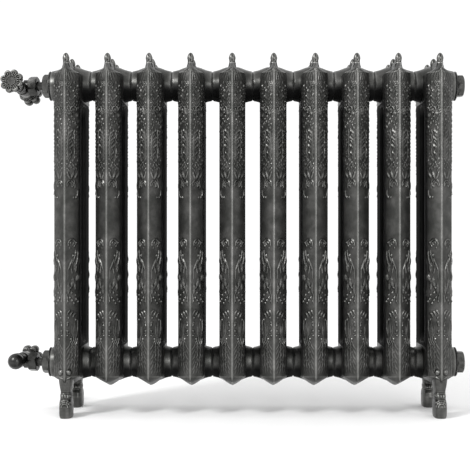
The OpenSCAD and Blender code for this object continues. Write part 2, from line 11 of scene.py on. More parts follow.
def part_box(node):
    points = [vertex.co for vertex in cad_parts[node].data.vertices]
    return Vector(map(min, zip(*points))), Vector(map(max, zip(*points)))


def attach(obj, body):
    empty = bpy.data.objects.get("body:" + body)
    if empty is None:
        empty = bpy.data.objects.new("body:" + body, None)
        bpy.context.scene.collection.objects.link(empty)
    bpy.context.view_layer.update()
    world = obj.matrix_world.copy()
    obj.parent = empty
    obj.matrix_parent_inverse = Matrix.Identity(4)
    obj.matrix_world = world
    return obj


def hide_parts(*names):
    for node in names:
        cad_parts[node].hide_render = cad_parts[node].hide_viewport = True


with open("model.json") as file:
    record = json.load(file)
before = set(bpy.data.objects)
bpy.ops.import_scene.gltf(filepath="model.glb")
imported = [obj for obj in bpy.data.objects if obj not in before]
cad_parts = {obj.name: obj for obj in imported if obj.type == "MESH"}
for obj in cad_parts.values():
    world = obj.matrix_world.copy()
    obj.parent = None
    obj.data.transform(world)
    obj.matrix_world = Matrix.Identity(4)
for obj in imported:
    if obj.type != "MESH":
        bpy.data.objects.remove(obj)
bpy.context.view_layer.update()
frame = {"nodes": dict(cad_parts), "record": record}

MM = 0.001

# ---- sizes taken from the frame

SECTIONS = [f"section_{i:02d}" for i in range(1, 11)]
SECTION_BOX = {name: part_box(name) for name in SECTIONS}
SECTION_X = {name: (lo.x + hi.x) / 2 / MM for name, (lo, hi) in SECTION_BOX.items()}
PLAIN_LOW, PLAIN_HIGH = SECTION_BOX["section_05"]  # a section without feet
HALF_DEPTH = -PLAIN_LOW.y / MM
CREST_TOP = PLAIN_HIGH.z / MM
KEEL_Z = PLAIN_LOW.z / MM
HUB_HALF = (PLAIN_HIGH.x - PLAIN_LOW.x) / 2 / MM


def middle_z(node):
    low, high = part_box(node)
    return (low.z + high.z) / 2 / MM


LOWER_HUB = middle_z("nipples_bottom")
UPPER_HUB = middle_z("nipples_top")

# Sizes of a casting in millimetres: half widths from its middle, depths from its front ridge.
LAND, LAND_DROP = 1.1, 0.15  # the flat on the ridge
FACET_HALF, FACET_DEEP = 24.8, 21.0  # where the slanted facet ends
FACET_SWELL = 0.8
WIDE_HALF, WIDE_DEEP = 27.6, 39.0  # the widest place of the flank
CORNER_HALF, SLOT_DEEP = 24.3, 68.0  # where the flank meets the slot
CORNER_CUT_X, CORNER_CUT_Y = 0.9, 1.5
CARVED_RUN = 45  # how far the carving reaches back from the ridge, along the surface
SLOT_R = HALF_DEPTH - SLOT_DEEP
SLOT_MARGIN = 43.0  # from a hub's centre to the slot's end
SLOT_LOW = LOWER_HUB + SLOT_MARGIN
SLOT_HIGH = UPPER_HUB - SLOT_MARGIN
ROOF_Z = CREST_TOP - 23  # where the crest stands on the roof
SHOULDER_Z = ROOF_Z - 19
BORE_R = 21.05
KEEL_HEIGHT = 15
KEEL_FRONT_RISE, KEEL_MIDDLE_DROP = 8.0, 7.5  # the keel's edge slants down from the ridge inwards
KEEL_SLANT_REACH = 34
FACET_RUN = math.hypot(FACET_HALF - LAND, FACET_DEEP)

# ---- small helpers


def ease(t):
    t = np.clip(t, 0, 1)
    return t * t * (3 - 2 * t)


def turn(sides):
    """Angles once round, without the last that closes it."""
    return np.linspace(0, 2 * np.pi, sides, endpoint=False)


def show(name, data):
    piece = bpy.data.objects.new(name, data)
    bpy.context.scene.collection.objects.link(piece)
    return piece


def new_piece(name, verts, faces):
    """A smooth mesh object from points in millimetres."""
    mesh = bpy.data.meshes.new(name)
    mesh.from_pydata((np.asarray(verts, float) * MM).tolist(), [], [list(map(int, f)) for f in faces])
    mesh.validate()
    mesh.shade_smooth()
    return show(name, mesh)


def merge_and_turn_out(mesh, distance=1e-6):
    """Merges doubles, drops faces with no area and points the normals outwards."""
    bm = bmesh.new()
    bm.from_mesh(mesh)
    bmesh.ops.remove_doubles(bm, verts=bm.verts, dist=distance)
    bmesh.ops.dissolve_degenerate(bm, edges=bm.edges, dist=distance * 0.5)
    bmesh.ops.recalc_face_normals(bm, faces=bm.faces)
    bm.to_mesh(mesh)
    bm.free()


def sharpen(piece, degrees):
    piece.data.shade_smooth()
    piece.data.set_sharp_from_angle(angle=math.radians(degrees))


def settle(piece):
    """Bakes the modifiers into the mesh and leaves none on the piece."""
    graph = bpy.context.evaluated_depsgraph_get()
    mesh = bpy.data.meshes.new_from_object(piece.evaluated_get(graph))
    piece.modifiers.clear()
    old = piece.data
    piece.data = mesh
    mesh.name = piece.name
    bpy.data.meshes.remove(old)
    return piece


def throw_away(piece):
    mesh = piece.data
    bpy.data.objects.remove(piece)
    bpy.data.meshes.remove(mesh)


def cut_or_join(piece, tools, operation):
    """Joins closed shells to a closed piece, or cuts them out of it, one after another."""
    for tool in tools:
        step = piece.modifiers.new(operation.lower(), "BOOLEAN")
        step.operation = operation
        step.solver = "MANIFOLD"
        step.object = tool
        settle(piece)
        throw_away(tool)
    return piece


def swept(name, rings, caps=True):
    """A closed shell through rings of equal length; its ends are fans, or the last ring is the first."""
    count = len(rings[0])
    verts = [p for ring in rings for p in ring]
    faces = []
    for i in range(len(rings) - 1):
        for j in range(count):
            k = (j + 1) % count
            faces.append((i * count + j, i * count + k, (i + 1) * count + k, (i + 1) * count + j))
    if caps:
        for row, order in ((0, -1), (len(rings) - 1, 1)):
            middle = np.mean(rings[row], axis=0)
            verts.append(middle)
            for j in range(count):
                k = (j + 1) % count
                pair = (row * count + j, row * count + k)
                faces.append((len(verts) - 1, *pair[::order]))
    piece = new_piece(name, verts, faces)
    merge_and_turn_out(piece.data)
    return piece


def numbers(items, name, width=3, kind=np.float32):
    """One property of many mesh items, a row for each."""
    values = np.empty(len(items) * width, kind)
    items.foreach_get(name, values)
    return values.reshape(-1, width)


def store(mesh, name, values):
    """Keeps a number from 0 to 1 at each point, for the material to read."""
    mark = mesh.attributes.get(name) or mesh.attributes.new(name, "FLOAT", "POINT")
    mark.data.foreach_set("value", np.clip(values, 0, 1).astype(np.float32))


SMOOTHING_ROUNDS = 2


def mark_burnish(piece, gain=0.9):
    """Stores how far each point stands proud of its neighbours: 1 is a rubbed crest and 0 a dirty hollow."""
    mesh = piece.data
    count = len(mesh.vertices)
    points = numbers(mesh.vertices, "co", kind=float) / MM
    normals = numbers(mesh.vertices, "normal")
    a, b = numbers(mesh.edges, "vertices", 2, np.int32).T
    step = points[b] - points[a]
    length = np.maximum((step**2).sum(1), 0.35)
    bend = np.bincount(a, -(normals[a] * step).sum(1) / length, count)
    bend += np.bincount(b, (normals[b] * step).sum(1) / length, count)
    valence = np.maximum(np.bincount(a, minlength=count) + np.bincount(b, minlength=count), 1)
    bend = np.clip(2 * bend / valence, -1.5, 1.5)
    for _ in range(SMOOTHING_ROUNDS):
        around = (np.bincount(a, bend[b], count) + np.bincount(b, bend[a], count)) / valence
        bend = 0.5 * bend + 0.5 * around
    store(mesh, "burnish", 0.5 + gain * bend)


def mark_painted_shade(piece):
    """Stores painted shade, 1 where shade falls: on the flanks between sections, the slot's walls and the hubs'
    undersides.
    """
    mesh = piece.data
    x, y, z = numbers(mesh.vertices, "co", kind=float).T / MM
    nx, ny, nz = numbers(mesh.vertices, "normal").T
    behind_facet = ease((HALF_DEPTH - np.abs(y) - WIDE_DEEP + 18) / 9)
    between_hubs = ease((z - LOWER_HUB + 10) / 8) * ease((UPPER_HUB + 18 - z) / 12)
    near_hub = np.minimum(np.abs(z - LOWER_HUB), np.abs(z - UPPER_HUB)) < 37.5
    sideways = ease((np.abs(nx) - 0.70) / 0.2)
    below = ease((0.1 - nz) / 0.5)
    flank = behind_facet * between_hubs * np.maximum(sideways, np.abs(ny) * behind_facet)
    store(mesh, "painted_shade", np.where(near_hub & (np.abs(x) > WIDE_HALF), below * 0.95, flank))


# ---- finishes


def add_node(tree, kind, inputs, **settings):
    """A node whose inputs are set to the values given, or linked to the outputs given."""
    made = tree.nodes.new(kind)
    for key, value in settings.items():
        setattr(made, key, value)
    for socket, value in inputs.items():
        if isinstance(value, bpy.types.NodeSocket):
            tree.links.new(value, made.inputs[socket])
        else:
            made.inputs[socket].default_value = value
    return made


class Finish:
    """A node material built up one node at a time."""

    def __init__(self, name, **shader):
        self.material = bpy.data.materials.new(name)
        self.material.use_nodes = True
        self.tree = self.material.node_tree
        self.shader = self.tree.nodes["Principled BSDF"]
        for socket, value in shader.items():
            self.shader.inputs[socket.replace("_", " ")].default_value = value
        self.place = self.tree.nodes.new("ShaderNodeTexCoord").outputs["Object"]

    def node(self, kind, inputs, **settings):
        return add_node(self.tree, kind, inputs, **settings)

    def feed(self, socket, value):
        self.tree.links.new(value, self.shader.inputs[socket])

    def noise(self, per_metre, detail, rough, stretch=None):
        place = self.place
        if stretch:
            place = self.node("ShaderNodeMapping", {"Vector": place, "Scale": stretch}).outputs["Vector"]
        inputs = {"Vector": place, "Scale": per_metre, "Detail": detail, "Roughness": rough}
        return self.node("ShaderNodeTexNoise", inputs).outputs["Fac"]

    def ramp(self, value, stops):
        made = self.node("ShaderNodeValToRGB", {"Fac": value})
        ramp = made.color_ramp
        while len(ramp.elements) < len(stops):
            ramp.elements.new(0.5)
        for element, (place, colour) in zip(ramp.elements, stops):
            element.position = place
            element.color = (*colour, 1)
        return made.outputs["Color"]

    def remap(self, value, low, high, to_low, to_high):
        inputs = {"Value": value, "From Min": low, "From Max": high, "To Min": to_low, "To Max": to_high}
        return self.node("ShaderNodeMapRange", inputs).outputs["Result"]

    def add(self, a, b, operation="ADD"):
        return self.node("ShaderNodeMath", {0: a, 1: b}, operation=operation).outputs[0]

    def times(self, a, b):
        return self.add(a, b, "MULTIPLY")

    def blend(self, factor, a, b, kind="MIX"):
        """Two colours mixed; 6 and 7 are the node's colour inputs."""
        a, b = ((*part, 1) if isinstance(part, tuple) else part for part in (a, b))
        return self.node("ShaderNodeMix", {0: factor, 6: a, 7: b}, data_type="RGBA", blend_type=kind).outputs[2]

    def edges(self, reach):
        """1 on corners within reach of an edge and 0 on flats."""
        rounded = self.node("ShaderNodeBevel", {"Radius": reach}, samples=4)
        plain = self.node("ShaderNodeNewGeometry", {})
        normals = {0: rounded.outputs["Normal"], 1: plain.outputs["Normal"]}
        dot = self.node("ShaderNodeVectorMath", normals, operation="DOT_PRODUCT")
        return self.remap(dot.outputs["Value"], 0.99, 0.86, 0.0, 1.0)

    def mark(self, name):
        return self.node("ShaderNodeAttribute", {}, attribute_name=name).outputs["Fac"]

    def finish(self, colour, rough, bump, height, strength):
        self.feed("Base Color", colour)
        self.feed("Roughness", rough)
        inputs = {"Strength": strength, "Distance": height, "Height": bump}
        self.feed("Normal", self.node("ShaderNodeBump", inputs).outputs["Normal"])
        return self.material


# Near black: the blackened hollows of the castings, and also the colour of the painted shade.
HOLLOW_BLACK_AND_PAINTED_SHADE = (0.004, 0.004, 0.004)


def cast_pewter(name, depth=1.0):
    """Burnished castings: dark hollows, a grey ground that depth darkens, rubbed bright crests, and painted
    shade on the flanks and under the hubs, near black and without metal shine.
    """
    f = Finish(name)
    cloud = f.noise(38, 5, 0.6)
    grain = f.noise(900, 3, 0.6)
    painted_shade = f.mark("painted_shade")
    worn = f.add(f.mark("burnish"), f.remap(cloud, 0.3, 0.7, -0.04, 0.04))
    ground = f.ramp(worn, [
        (0.05, HOLLOW_BLACK_AND_PAINTED_SHADE),
        (0.38, (0.020, 0.020, 0.019)),
        (0.50, (0.062 * depth, 0.062 * depth, 0.060 * depth)),
        (0.66, (0.165, 0.165, 0.161)),
        (0.92, (0.640, 0.640, 0.628)),
    ])
    tint = f.blend(f.remap(cloud, 0.35, 0.65, 0.0, 1.0), (0.84, 0.85, 0.83), (1.12, 1.11, 1.10))
    burnished = f.blend(1.0, ground, tint, "MULTIPLY")
    # Painted shade: where the shade mark is 1 the colour turns near black, and below the metal shine and
    # specular are taken away.
    colour = f.blend(painted_shade, burnished, HOLLOW_BLACK_AND_PAINTED_SHADE)
    rough = f.add(f.remap(worn, 0.3, 0.9, 0.42, 0.25), f.remap(grain, 0.3, 0.7, -0.05, 0.07))
    rough = f.add(rough, f.times(painted_shade, 0.3))
    f.feed("Metallic", f.remap(painted_shade, 0.0, 1.0, 0.92, 0.0))
    f.feed("Specular IOR Level", f.remap(painted_shade, 0.0, 1.0, 0.35, 0.04))
    bump = f.add(grain, f.remap(f.noise(260, 4, 0.6), 0.0, 1.0, 0.0, 1.6))
    return f.finish(colour, rough, bump, height=0.00022, strength=0.35)


RUBBED_EDGE = 0.55 * MM


def turned_pewter(name, dark, light, rough_low=0.26, rough_high=0.42):
    """Machined and polished fittings: fine turning marks, cloudy patina and bright rubbed corners."""
    f = Finish(name, Metallic=0.95, Specular_IOR_Level=0.5)
    cloud = f.noise(70, 5, 0.6)
    grain = f.noise(1500, 2, 0.5)
    base = f.ramp(cloud, [(0.32, dark), (0.68, light)])
    bright = tuple(min(1.0, 2.6 * c) for c in light)
    colour = f.blend(f.times(f.edges(RUBBED_EDGE), 0.75), base, bright)
    rough = f.add(f.remap(cloud, 0.3, 0.7, rough_low, rough_high), f.remap(grain, 0.3, 0.7, -0.04, 0.05))
    return f.finish(colour, rough, grain, height=0.00008, strength=0.3)


def plain_metal(name, dark, light, rough):
    """Bare turned metal with fine scratches round it."""
    f = Finish(name, Metallic=1.0)
    cloud = f.noise(160, 4, 0.55)
    scratch = f.noise(2400, 2, 0.5, stretch=(1, 0.06, 1))
    colour = f.ramp(cloud, [(0.3, dark), (0.7, light)])
    rough = f.remap(cloud, 0.3, 0.7, rough, rough + 0.14)
    return f.finish(colour, rough, scratch, height=0.00005, strength=0.3)


def soft_ring(name, dark, light):
    """Graphited fibre of gaskets, packings and washers."""
    f = Finish(name, Metallic=0.0, Specular_IOR_Level=0.3)
    fibre = f.noise(1300, 4, 0.7)
    colour = f.ramp(fibre, [(0.3, dark), (0.7, light)])
    return f.finish(colour, f.remap(fibre, 0.3, 0.7, 0.62, 0.85), fibre, height=0.0001, strength=0.6)


CASTING = cast_pewter("cast iron rubbed to pewter")
ORNATE_BRASS = cast_pewter("valve castings rubbed to pewter", depth=0.45)
FITTING = turned_pewter("pewter plated plugs", (0.045, 0.045, 0.043), (0.105, 0.105, 0.101))
VALVE = turned_pewter("pewter plated valve", (0.022, 0.022, 0.021), (0.062, 0.062, 0.060), 0.22, 0.36)
STEEL = plain_metal("turned steel", (0.30, 0.30, 0.31), (0.46, 0.46, 0.47), 0.28)
BRASS = plain_metal("bare brass", (0.55, 0.40, 0.17), (0.74, 0.57, 0.28), 0.25)
GASKET = soft_ring("graphited gasket", (0.006, 0.006, 0.006), (0.022, 0.022, 0.022))
WASHER = soft_ring("fibre washer", (0.14, 0.03, 0.02), (0.26, 0.07, 0.05))

# ---- carving on the facets


class Carving:
    """Raised pattern of one facet: u runs back from the ridge, z up, heights in millimetres."""

    STEP = 0.5

    def __init__(self, low, high, across=46.0):
        self.low = low
        self.u = np.arange(0, across + self.STEP, self.STEP)
        self.z = np.arange(low, high + self.STEP, self.STEP)
        self.raised = np.zeros((len(self.z), len(self.u)))
        self.sunk = np.zeros_like(self.raised)

    def _patch(self, u, z, r):
        i0, i1 = (int(round((v - self.low) / self.STEP)) for v in (z - r, z + r))
        j0, j1 = (int(round(v / self.STEP)) for v in (u - r, u + r))
        i0, j0 = max(i0, 0), max(j0, 0)
        if i1 < i0 or j1 < j0 or i0 >= len(self.z) or j0 >= len(self.u):
            return None
        rows, cols = slice(i0, i1 + 1), slice(j0, j1 + 1)
        gap = np.hypot(self.u[cols][None, :] - u, self.z[rows][:, None] - z)
        return rows, cols, gap

    def bead(self, u, z, r, high):
        found = self._patch(u, z, r)
        if found:
            rows, cols, gap = found
            dome = high * np.sqrt(np.clip(1 - (gap / r) ** 2, 0, 1))
            self.raised[rows, cols] = np.maximum(self.raised[rows, cols], dome)

    def beads(self, places, high):
        for u, z, r in places:
            self.bead(u, z, r, high)

    def dent(self, u, z, r, deep):
        found = self._patch(u, z, r * 2)
        if found:
            rows, cols, gap = found
            self.sunk[rows, cols] = np.maximum(self.sunk[rows, cols], deep * np.exp(-((gap / r) ** 2)))

    def stroke(self, points, wide, high, taper=0.35, groove=False):
        """A rounded rib through 2 to 4 control points, thinner towards its ends."""
        p = [np.array(q, float) for q in points]
        span = sum(np.hypot(*(b - a)) for a, b in zip(p, p[1:]))
        count = max(6, int(span / max(0.25 * wide, 0.3)))
        for t in np.linspace(0, 1, count):
            q = p
            while len(q) > 1:
                q = [a + (b - a) * t for a, b in zip(q, q[1:])]
            swell = taper + (1 - taper) * math.sin(math.pi * t) ** 0.7
            if groove:
                self.dent(q[0][0], q[0][1], wide * swell, high * swell)
            else:
                self.bead(q[0][0], q[0][1], wide * swell, high * (0.55 + 0.45 * swell))

    def leaf(self, foot, tip, wide, high, sway=0.0, lobes=0, veins=0):
        """A leaf from its foot to its tip, with scalloped sides, a midrib and side veins."""
        foot, tip = np.array(foot, float), np.array(tip, float)
        along = tip - foot
        span = np.hypot(*along)
        along /= span
        side = np.array([along[1], -along[0]])

        def spine(t):
            return foot + along * span * t + side * sway * math.sin(math.pi * t)

        for t in np.linspace(0, 1, int(span / 0.8) + 4):
            swell = math.sin(math.pi * min(1, 0.06 + 0.94 * t) ** 0.8) ** 0.8
            self.bead(*spine(t), max(0.8, wide * swell), high * (0.45 + 0.55 * swell))
        for i in range(lobes):
            t = (i + 0.7) / (lobes + 0.6)
            swell = math.sin(math.pi * t**0.8) ** 0.8
            for s in (-1, 1):
                self.bead(*(spine(t) + s * side * wide * swell * 0.92), wide * 0.42, high * 0.85)
        self.stroke([spine(t) for t in (0.04, 0.35, 0.7, 0.98)], 0.75, high * 0.55, 0.6, groove=True)
        for i in range(veins):
            t = (i + 0.6) / (veins + 0.5)
            out = wide * math.sin(math.pi * t**0.8) ** 0.8 * 0.9
            for s in (-1, 1):
                end = spine(min(1, t + 0.10)) + s * side * out
                self.stroke([spine(t), end], 0.6, high * 0.42, 0.7, groove=True)

    def scroll(self, u, z, r, wide, high, start, sweep, inner=0.3):
        """A curl that winds in from radius r to inner times r; angles in degrees from +u towards +z."""
        count = max(10, int(abs(sweep) * r / 40 / wide * 3))
        for t in np.linspace(0, 1, count):
            a = math.radians(start + sweep * t)
            rr = r * (1 - (1 - inner) * t)
            self.bead(u + rr * math.cos(a), z + rr * math.sin(a),
                      wide * (1 - 0.3 * t), high * (0.8 + 0.2 * t))

    def height(self, u, z):
        """Height at any points, sampled between the grid's own."""
        total = self.raised - self.sunk
        x = np.clip(u / self.STEP, 0, len(self.u) - 1.001)
        y = np.clip((z - self.low) / self.STEP, 0, len(self.z) - 1.001)
        i, j = y.astype(int), x.astype(int)
        fy, fx = y - i, x - j
        low = total[i, j] * (1 - fx) + total[i, j + 1] * fx
        high = total[i + 1, j] * (1 - fx) + total[i + 1, j + 1] * fx
        return low * (1 - fy) + high * fy


# The carvings are drawn one by one: places are (u, z), and a bead's third number is its radius.


def carve_head(c):
    """Flutes, berries and a palmette on the head, above the long leaf."""
    for u, z, wide, high in ((5.5, 704, 1.5, 1.1), (11.5, 708, 1.3, 0.9), (18.5, 712, 1.3, 0.8),
                             (26, 716, 1.2, 0.7), (33, 719, 1.1, 0.5)):
        c.stroke([(2.2, 738), (1.5 + 0.45 * u, 733), (u, z)], wide, high, 0.35)
        c.stroke([(3.6, 735), (2.8 + 0.45 * u, 729), (u + 2.4, z + 1.5)], 0.6, 0.5, 0.5, groove=True)
    for u, z, way in ((24, 704, 1), (34, 708, -1), (14, 703, -1)):
        c.scroll(u, z, 2.9, 0.8, 1.1, 90, way * 240)
    rosette_u, rosette_z, ring_r = 8, 700, 4.6
    for a in np.radians(range(0, 360, 45)):
        c.bead(rosette_u + ring_r * math.cos(a), rosette_z + ring_r * math.sin(a), 1.5, 1.3)
    c.bead(rosette_u, rosette_z, 1.8, 1.8)
    c.beads(((20, 687, 2.3), (7, 677, 2.3), (24, 676, 2.2),
             (14, 694, 1.7), (30, 698, 2.0), (36, 684, 2.0)), 1.9)
    chevrons = ((691, 5, 1.0), (683, 2, 0.75), (675, 6, 1.1), (666, 3, 0.85), (658, 5, 1.0), (650, 1, 0.7))
    for i, (z, bow, share) in enumerate(chevrons):
        near = [(1.5 + 0.7 * bow, z + 3), (8 + bow * 0.3, z - 4), (13 + bow * 0.5, z - 8)]
        far = [(28 - bow, z + 5), (23, z - 2 - bow * 0.4), (18 - bow * 0.4, z - 6)]
        c.stroke(near, 0.95, 0.9 * share, 0.3)
        c.stroke(far, 0.9, 0.8 * share, 0.3)
        c.bead(16 + 1.5 * bow * (-1) ** i, z + 1.5, 1.4, 1.2 * share)
        c.bead(4.0 + 0.5 * bow, z - 5, 1.2, 1.5)
        c.leaf((33, z - 3 + bow * 0.5), (39.5, z + 3), 2.1, 1.5 * share, 0.8)
        c.bead(30.5 - 0.4 * bow, z - 1, 1.3, 1.5)
    fan_u, fan_z = 10, 636
    for a in (-62, -38, -13, 12, 36, 58, 78):
        along, up = math.sin(math.radians(a)), math.cos(math.radians(a))
        reach = 11.5 + 3.5 * math.cos(math.radians(a * 1.6))
        ends = [(fan_u + r * along, fan_z + r * up) for r in (2.5, reach)]
        c.stroke(ends, 1.1, 1.5, 0.4)
    c.bead(fan_u, fan_z + 2, 2.6, 2.0)
    for s in (-1, 1):
        c.scroll(21 + 3 * s, 648, 5.5, 1.3, 1.6, 90, s * -300)
    for u, z, r, h in ((13, 640, 1.9, 2.0), (9.5, 626, 2.1, 2.2), (16.5, 633, 1.6, 2.0), (6.5, 616, 1.4, 1.7),
                       (19, 622, 1.5, 1.8), (12.5, 614, 1.3, 1.6), (23, 628, 1.4, 1.6), (27, 616, 1.3, 1.6)):
        c.bead(u, z, r, h)
    for u, z, way in ((6, 634, 1), (20, 641, -1), (14, 620, 1), (24, 619, -1), (29, 636, 1), (8, 608, -1)):
        c.scroll(u, z, 2.7, 0.75, 1.3, 90, way * 260)
    for u, z in ((33, 640), (36, 628), (34, 616), (38, 605), (34, 655), (38, 664)):
        c.leaf((u - 4, z - 6), (u + 4, z + 5), 2.6, 1.6, 1.0)


def carve_long_leaf(c):
    """The tall acanthus leaf beside the ridge, its outer lobes, and the berries that end it."""
    spine_u = 8.5
    c.leaf((spine_u, 540), (spine_u + 1, 606), 3.6, 1.2, sway=-1.0)
    lobes = ((548, 14.5, 1.3), (556, 17.0, 1.9), (563, 15.0, 1.2), (571, 18.5, 2.0),
             (579, 16.0, 1.5), (587, 19.0, 2.1), (594, 15.5, 1.4), (602, 17.5, 1.8))
    for i, (z, reach, high) in enumerate(lobes):
        odd = i % 2
        c.leaf((spine_u, z - 6), (reach, z + 4.5), 1.9, high, 0.9)
        c.stroke([(reach - 1, z + 5), (reach + 0.5, z + 1), (reach - 2.5, z - 3)], 0.8, high * 0.9, 0.5)
        c.dent(reach - 3.5, z - 2.5, 1.2, 1.0)
        c.stroke([(21 + (i % 3), z + 4), (24.5, z), (22 - odd, z - 4)], 0.85, 1.4 - 0.3 * odd, 0.4)
        c.bead(27.5 + 1.4 * odd, z + 1.5 - 2 * (i % 3), 1.2, 1.3)
        c.leaf((32, z - 4), (38.5, z + 3.5), 1.7, 1.5 - 0.3 * odd, 0.7)
        c.bead(41 - odd, z - 1, 1.2, 1.4)
    for i in range(8):
        z = 545 + 7.8 * i
        c.stroke([(2.6, z - 2), (4.4, z + 2.5), (3.0, z + 5)], 0.7, 0.9, 0.4)
    for u, z, r, h in ((5.5, 543, 1.8, 1.7), (5.2, 533, 1.7, 1.6), (5.4, 523, 1.5, 1.5), (14, 536, 1.8, 1.5),
                       (26, 533, 1.6, 1.5), (15, 526, 1.5, 1.4), (31, 541, 1.6, 1.4), (36, 528, 1.5, 1.3)):
        c.bead(u, z, r, h)
    for u, z, way in ((20, 540, 1), (10, 529, -1), (22, 524, -1), (30, 532, 1), (38, 540, -1)):
        c.scroll(u, z, 3.0, 0.85, 1.4, 60, way * 250)
    for u, z in ((8, 520), (19, 531), (27, 524), (34, 520)):
        c.stroke([(u - 2, z + 3), (u + 1.5, z + 1), (u + 2, z - 3)], 0.9, 1.3, 0.4)
    for s in (-1, 1):
        c.leaf((13 + s * 1.5, 503), (13 + s * 7.5, 519), 2.5, 1.8, s * 1.0)
    c.leaf((24, 505), (31, 517), 2.3, 1.6, 1.0)
    c.scroll(12.5, 490, 8.4, 1.35, 1.9, -20, 220, inner=0.92)
    c.scroll(12.5, 489.5, 4.8, 1.15, 1.6, 0, 190, inner=0.85)
    c.bead(17.5, 486.5, 1.9, 1.9)
    c.bead(6.0, 487.5, 1.6, 1.5)
    c.stroke([(22, 500), (25, 490), (24, 482)], 1.2, 1.2)
    c.beads(((21, 463, 1.8), (27, 463.5, 2.0), (34, 470, 1.7)), 1.7)
    c.stroke([(31, 479), (31.5, 470), (28.5, 464)], 1.1, 1.4)
    c.stroke([(38, 500), (37, 482), (33, 466)], 1.2, 1.3)


def carve_stem(c):
    """The scroll, twisted stems and leaves of the lower shaft."""
    c.scroll(16.5, 366, 9.0, 1.5, 2.1, 200, -215, inner=0.9)
    c.scroll(17.5, 366, 4.8, 1.2, 1.7, 170, -250, inner=0.5)
    c.beads(((22.5, 361, 1.7), (12, 357, 1.5), (19.5, 341, 2.6), (28, 368, 1.8)), 1.9)
    for stem, wide, high in (([(25.5, 352), (25, 338), (17.5, 325)], 1.35, 1.9),
                             ([(18.5, 334), (10.5, 322), (8, 312)], 1.55, 2.2),
                             ([(8, 316), (6.5, 304), (7.5, 292)], 1.1, 1.5),
                             ([(31, 350), (32, 332), (24, 316)], 1.3, 1.7),
                             ([(15, 322), (14, 312), (18, 303)], 1.2, 1.6)):
        c.stroke(stem, wide, high, 0.4)
    for foot, tip, wide, sway in (((26, 308), (23, 325), 3.0, 1.5), ((31, 300), (27, 286), 2.6, -1.0),
                                  ((15, 275), (19.5, 297), 3.2, 1.6), ((25, 270), (26, 292), 2.8, -1.4),
                                  ((36, 322), (39, 338), 2.6, 1.0), ((36, 288), (39, 304), 2.6, 1.0),
                                  ((35, 254), (39, 272), 2.6, 1.0), ((8, 262), (8, 284), 2.6, 0.8)):
        c.leaf(foot, tip, wide, 1.9, sway, lobes=2)
    c.beads(((18.5, 280, 1.7), (13, 273, 2.1), (16.5, 263, 2.0), (12, 253, 2.2), (17, 247, 2.2),
             (21.5, 241, 2.1), (25.5, 258, 1.8), (27.5, 249, 2.0), (7, 246, 1.8), (32, 244, 1.8)), 1.9)
    c.stroke([(4, 262), (7, 252), (5, 242)], 1.0, 1.2)


def carve_foot_leaves(c):
    """The arched tendrils, ridge beads and fan of leaves above the keel."""
    for i, (u, z) in enumerate(((5.5, 219), (12.5, 216), (19.5, 212.5))):
        c.stroke([(u, z - 1), (u + 2.5, z + 7), (u + 7.5, z + 6.5)], 1.4, 2.0 - 0.15 * i, 0.4)
    c.beads(((8.5, 211, 2.0), (26, 206, 1.8), (5.5, 195, 1.8),
             (6, 184, 2.0), (5.5, 174, 1.7), (14, 166.5, 2.3)), 1.9)
    c.scroll(9, 200, 4.4, 1.1, 1.2, 250, -210)
    c.scroll(9.5, 179, 4.6, 1.1, 1.2, 90, 230)
    c.leaf((23, 163), (24, 202), 6.0, 1.0, 1.0)
    c.stroke([(18, 196), (15.5, 182), (19, 170)], 1.0, 1.1)
    c.stroke([(30, 206), (32, 186), (27, 168)], 1.3, 1.4)
    for i in range(4):
        u = 4.5 * i
        c.stroke([(16 + u, 172 - i), (18 + u, 163 - i), (11 + u, 157 - 1.5 * i)], 1.1, 1.4)
    leaves = ((1.4, 1.2), (0.4, 0.8), (1.8, 1.1), (0.8, 0.7), (1.5, 1.0), (0.5, 0.6))
    for i, (sway, high) in enumerate(leaves):
        z = 155 - 10.5 * i
        c.leaf((3.5 + 0.4 * i, z - 10), (12.5 - 0.5 * i, z + 5), 1.7, high, sway)
        c.stroke([(15 - i * 0.4, z - 8), (19, z - 1), (17 - i * 0.3, z + 6)], 0.9, high, 0.35)
        c.bead(14 - i * 0.4, z + 5, 1.3, high)
        c.stroke([(25 - i, z - 9), (29 - i, z - 3), (26 - i, z + 4)], 0.85, high * 0.8, 0.35)
        c.leaf((31 - i, z - 7), (37 - 1.5 * i, z + 3), 1.5, high * 0.8, 0.8)
    c.scroll(21, 148, 3.6, 0.8, 1.0, 200, 260)
    c.scroll(22, 122, 3.2, 0.8, 0.9, 20, -250)


def carved_facet(knee):
    """The whole pattern of a facet; a footed section has a boss at the knee."""
    c = Carving(KEEL_Z - 2, ROOF_Z + 3)
    carve_head(c)
    carve_long_leaf(c)
    carve_stem(c)
    carve_foot_leaves(c)
    if knee:
        c.bead(8.4, 97.0, 5.6, 4.6)
        c.bead(8.8, 93.5, 5.0, 3.9)
    return c


# ---- the casting's skin


def shares(steps):
    """Even steps up to 1, without the 0 they start from."""
    return np.linspace(0, 1, steps + 1)[1:]


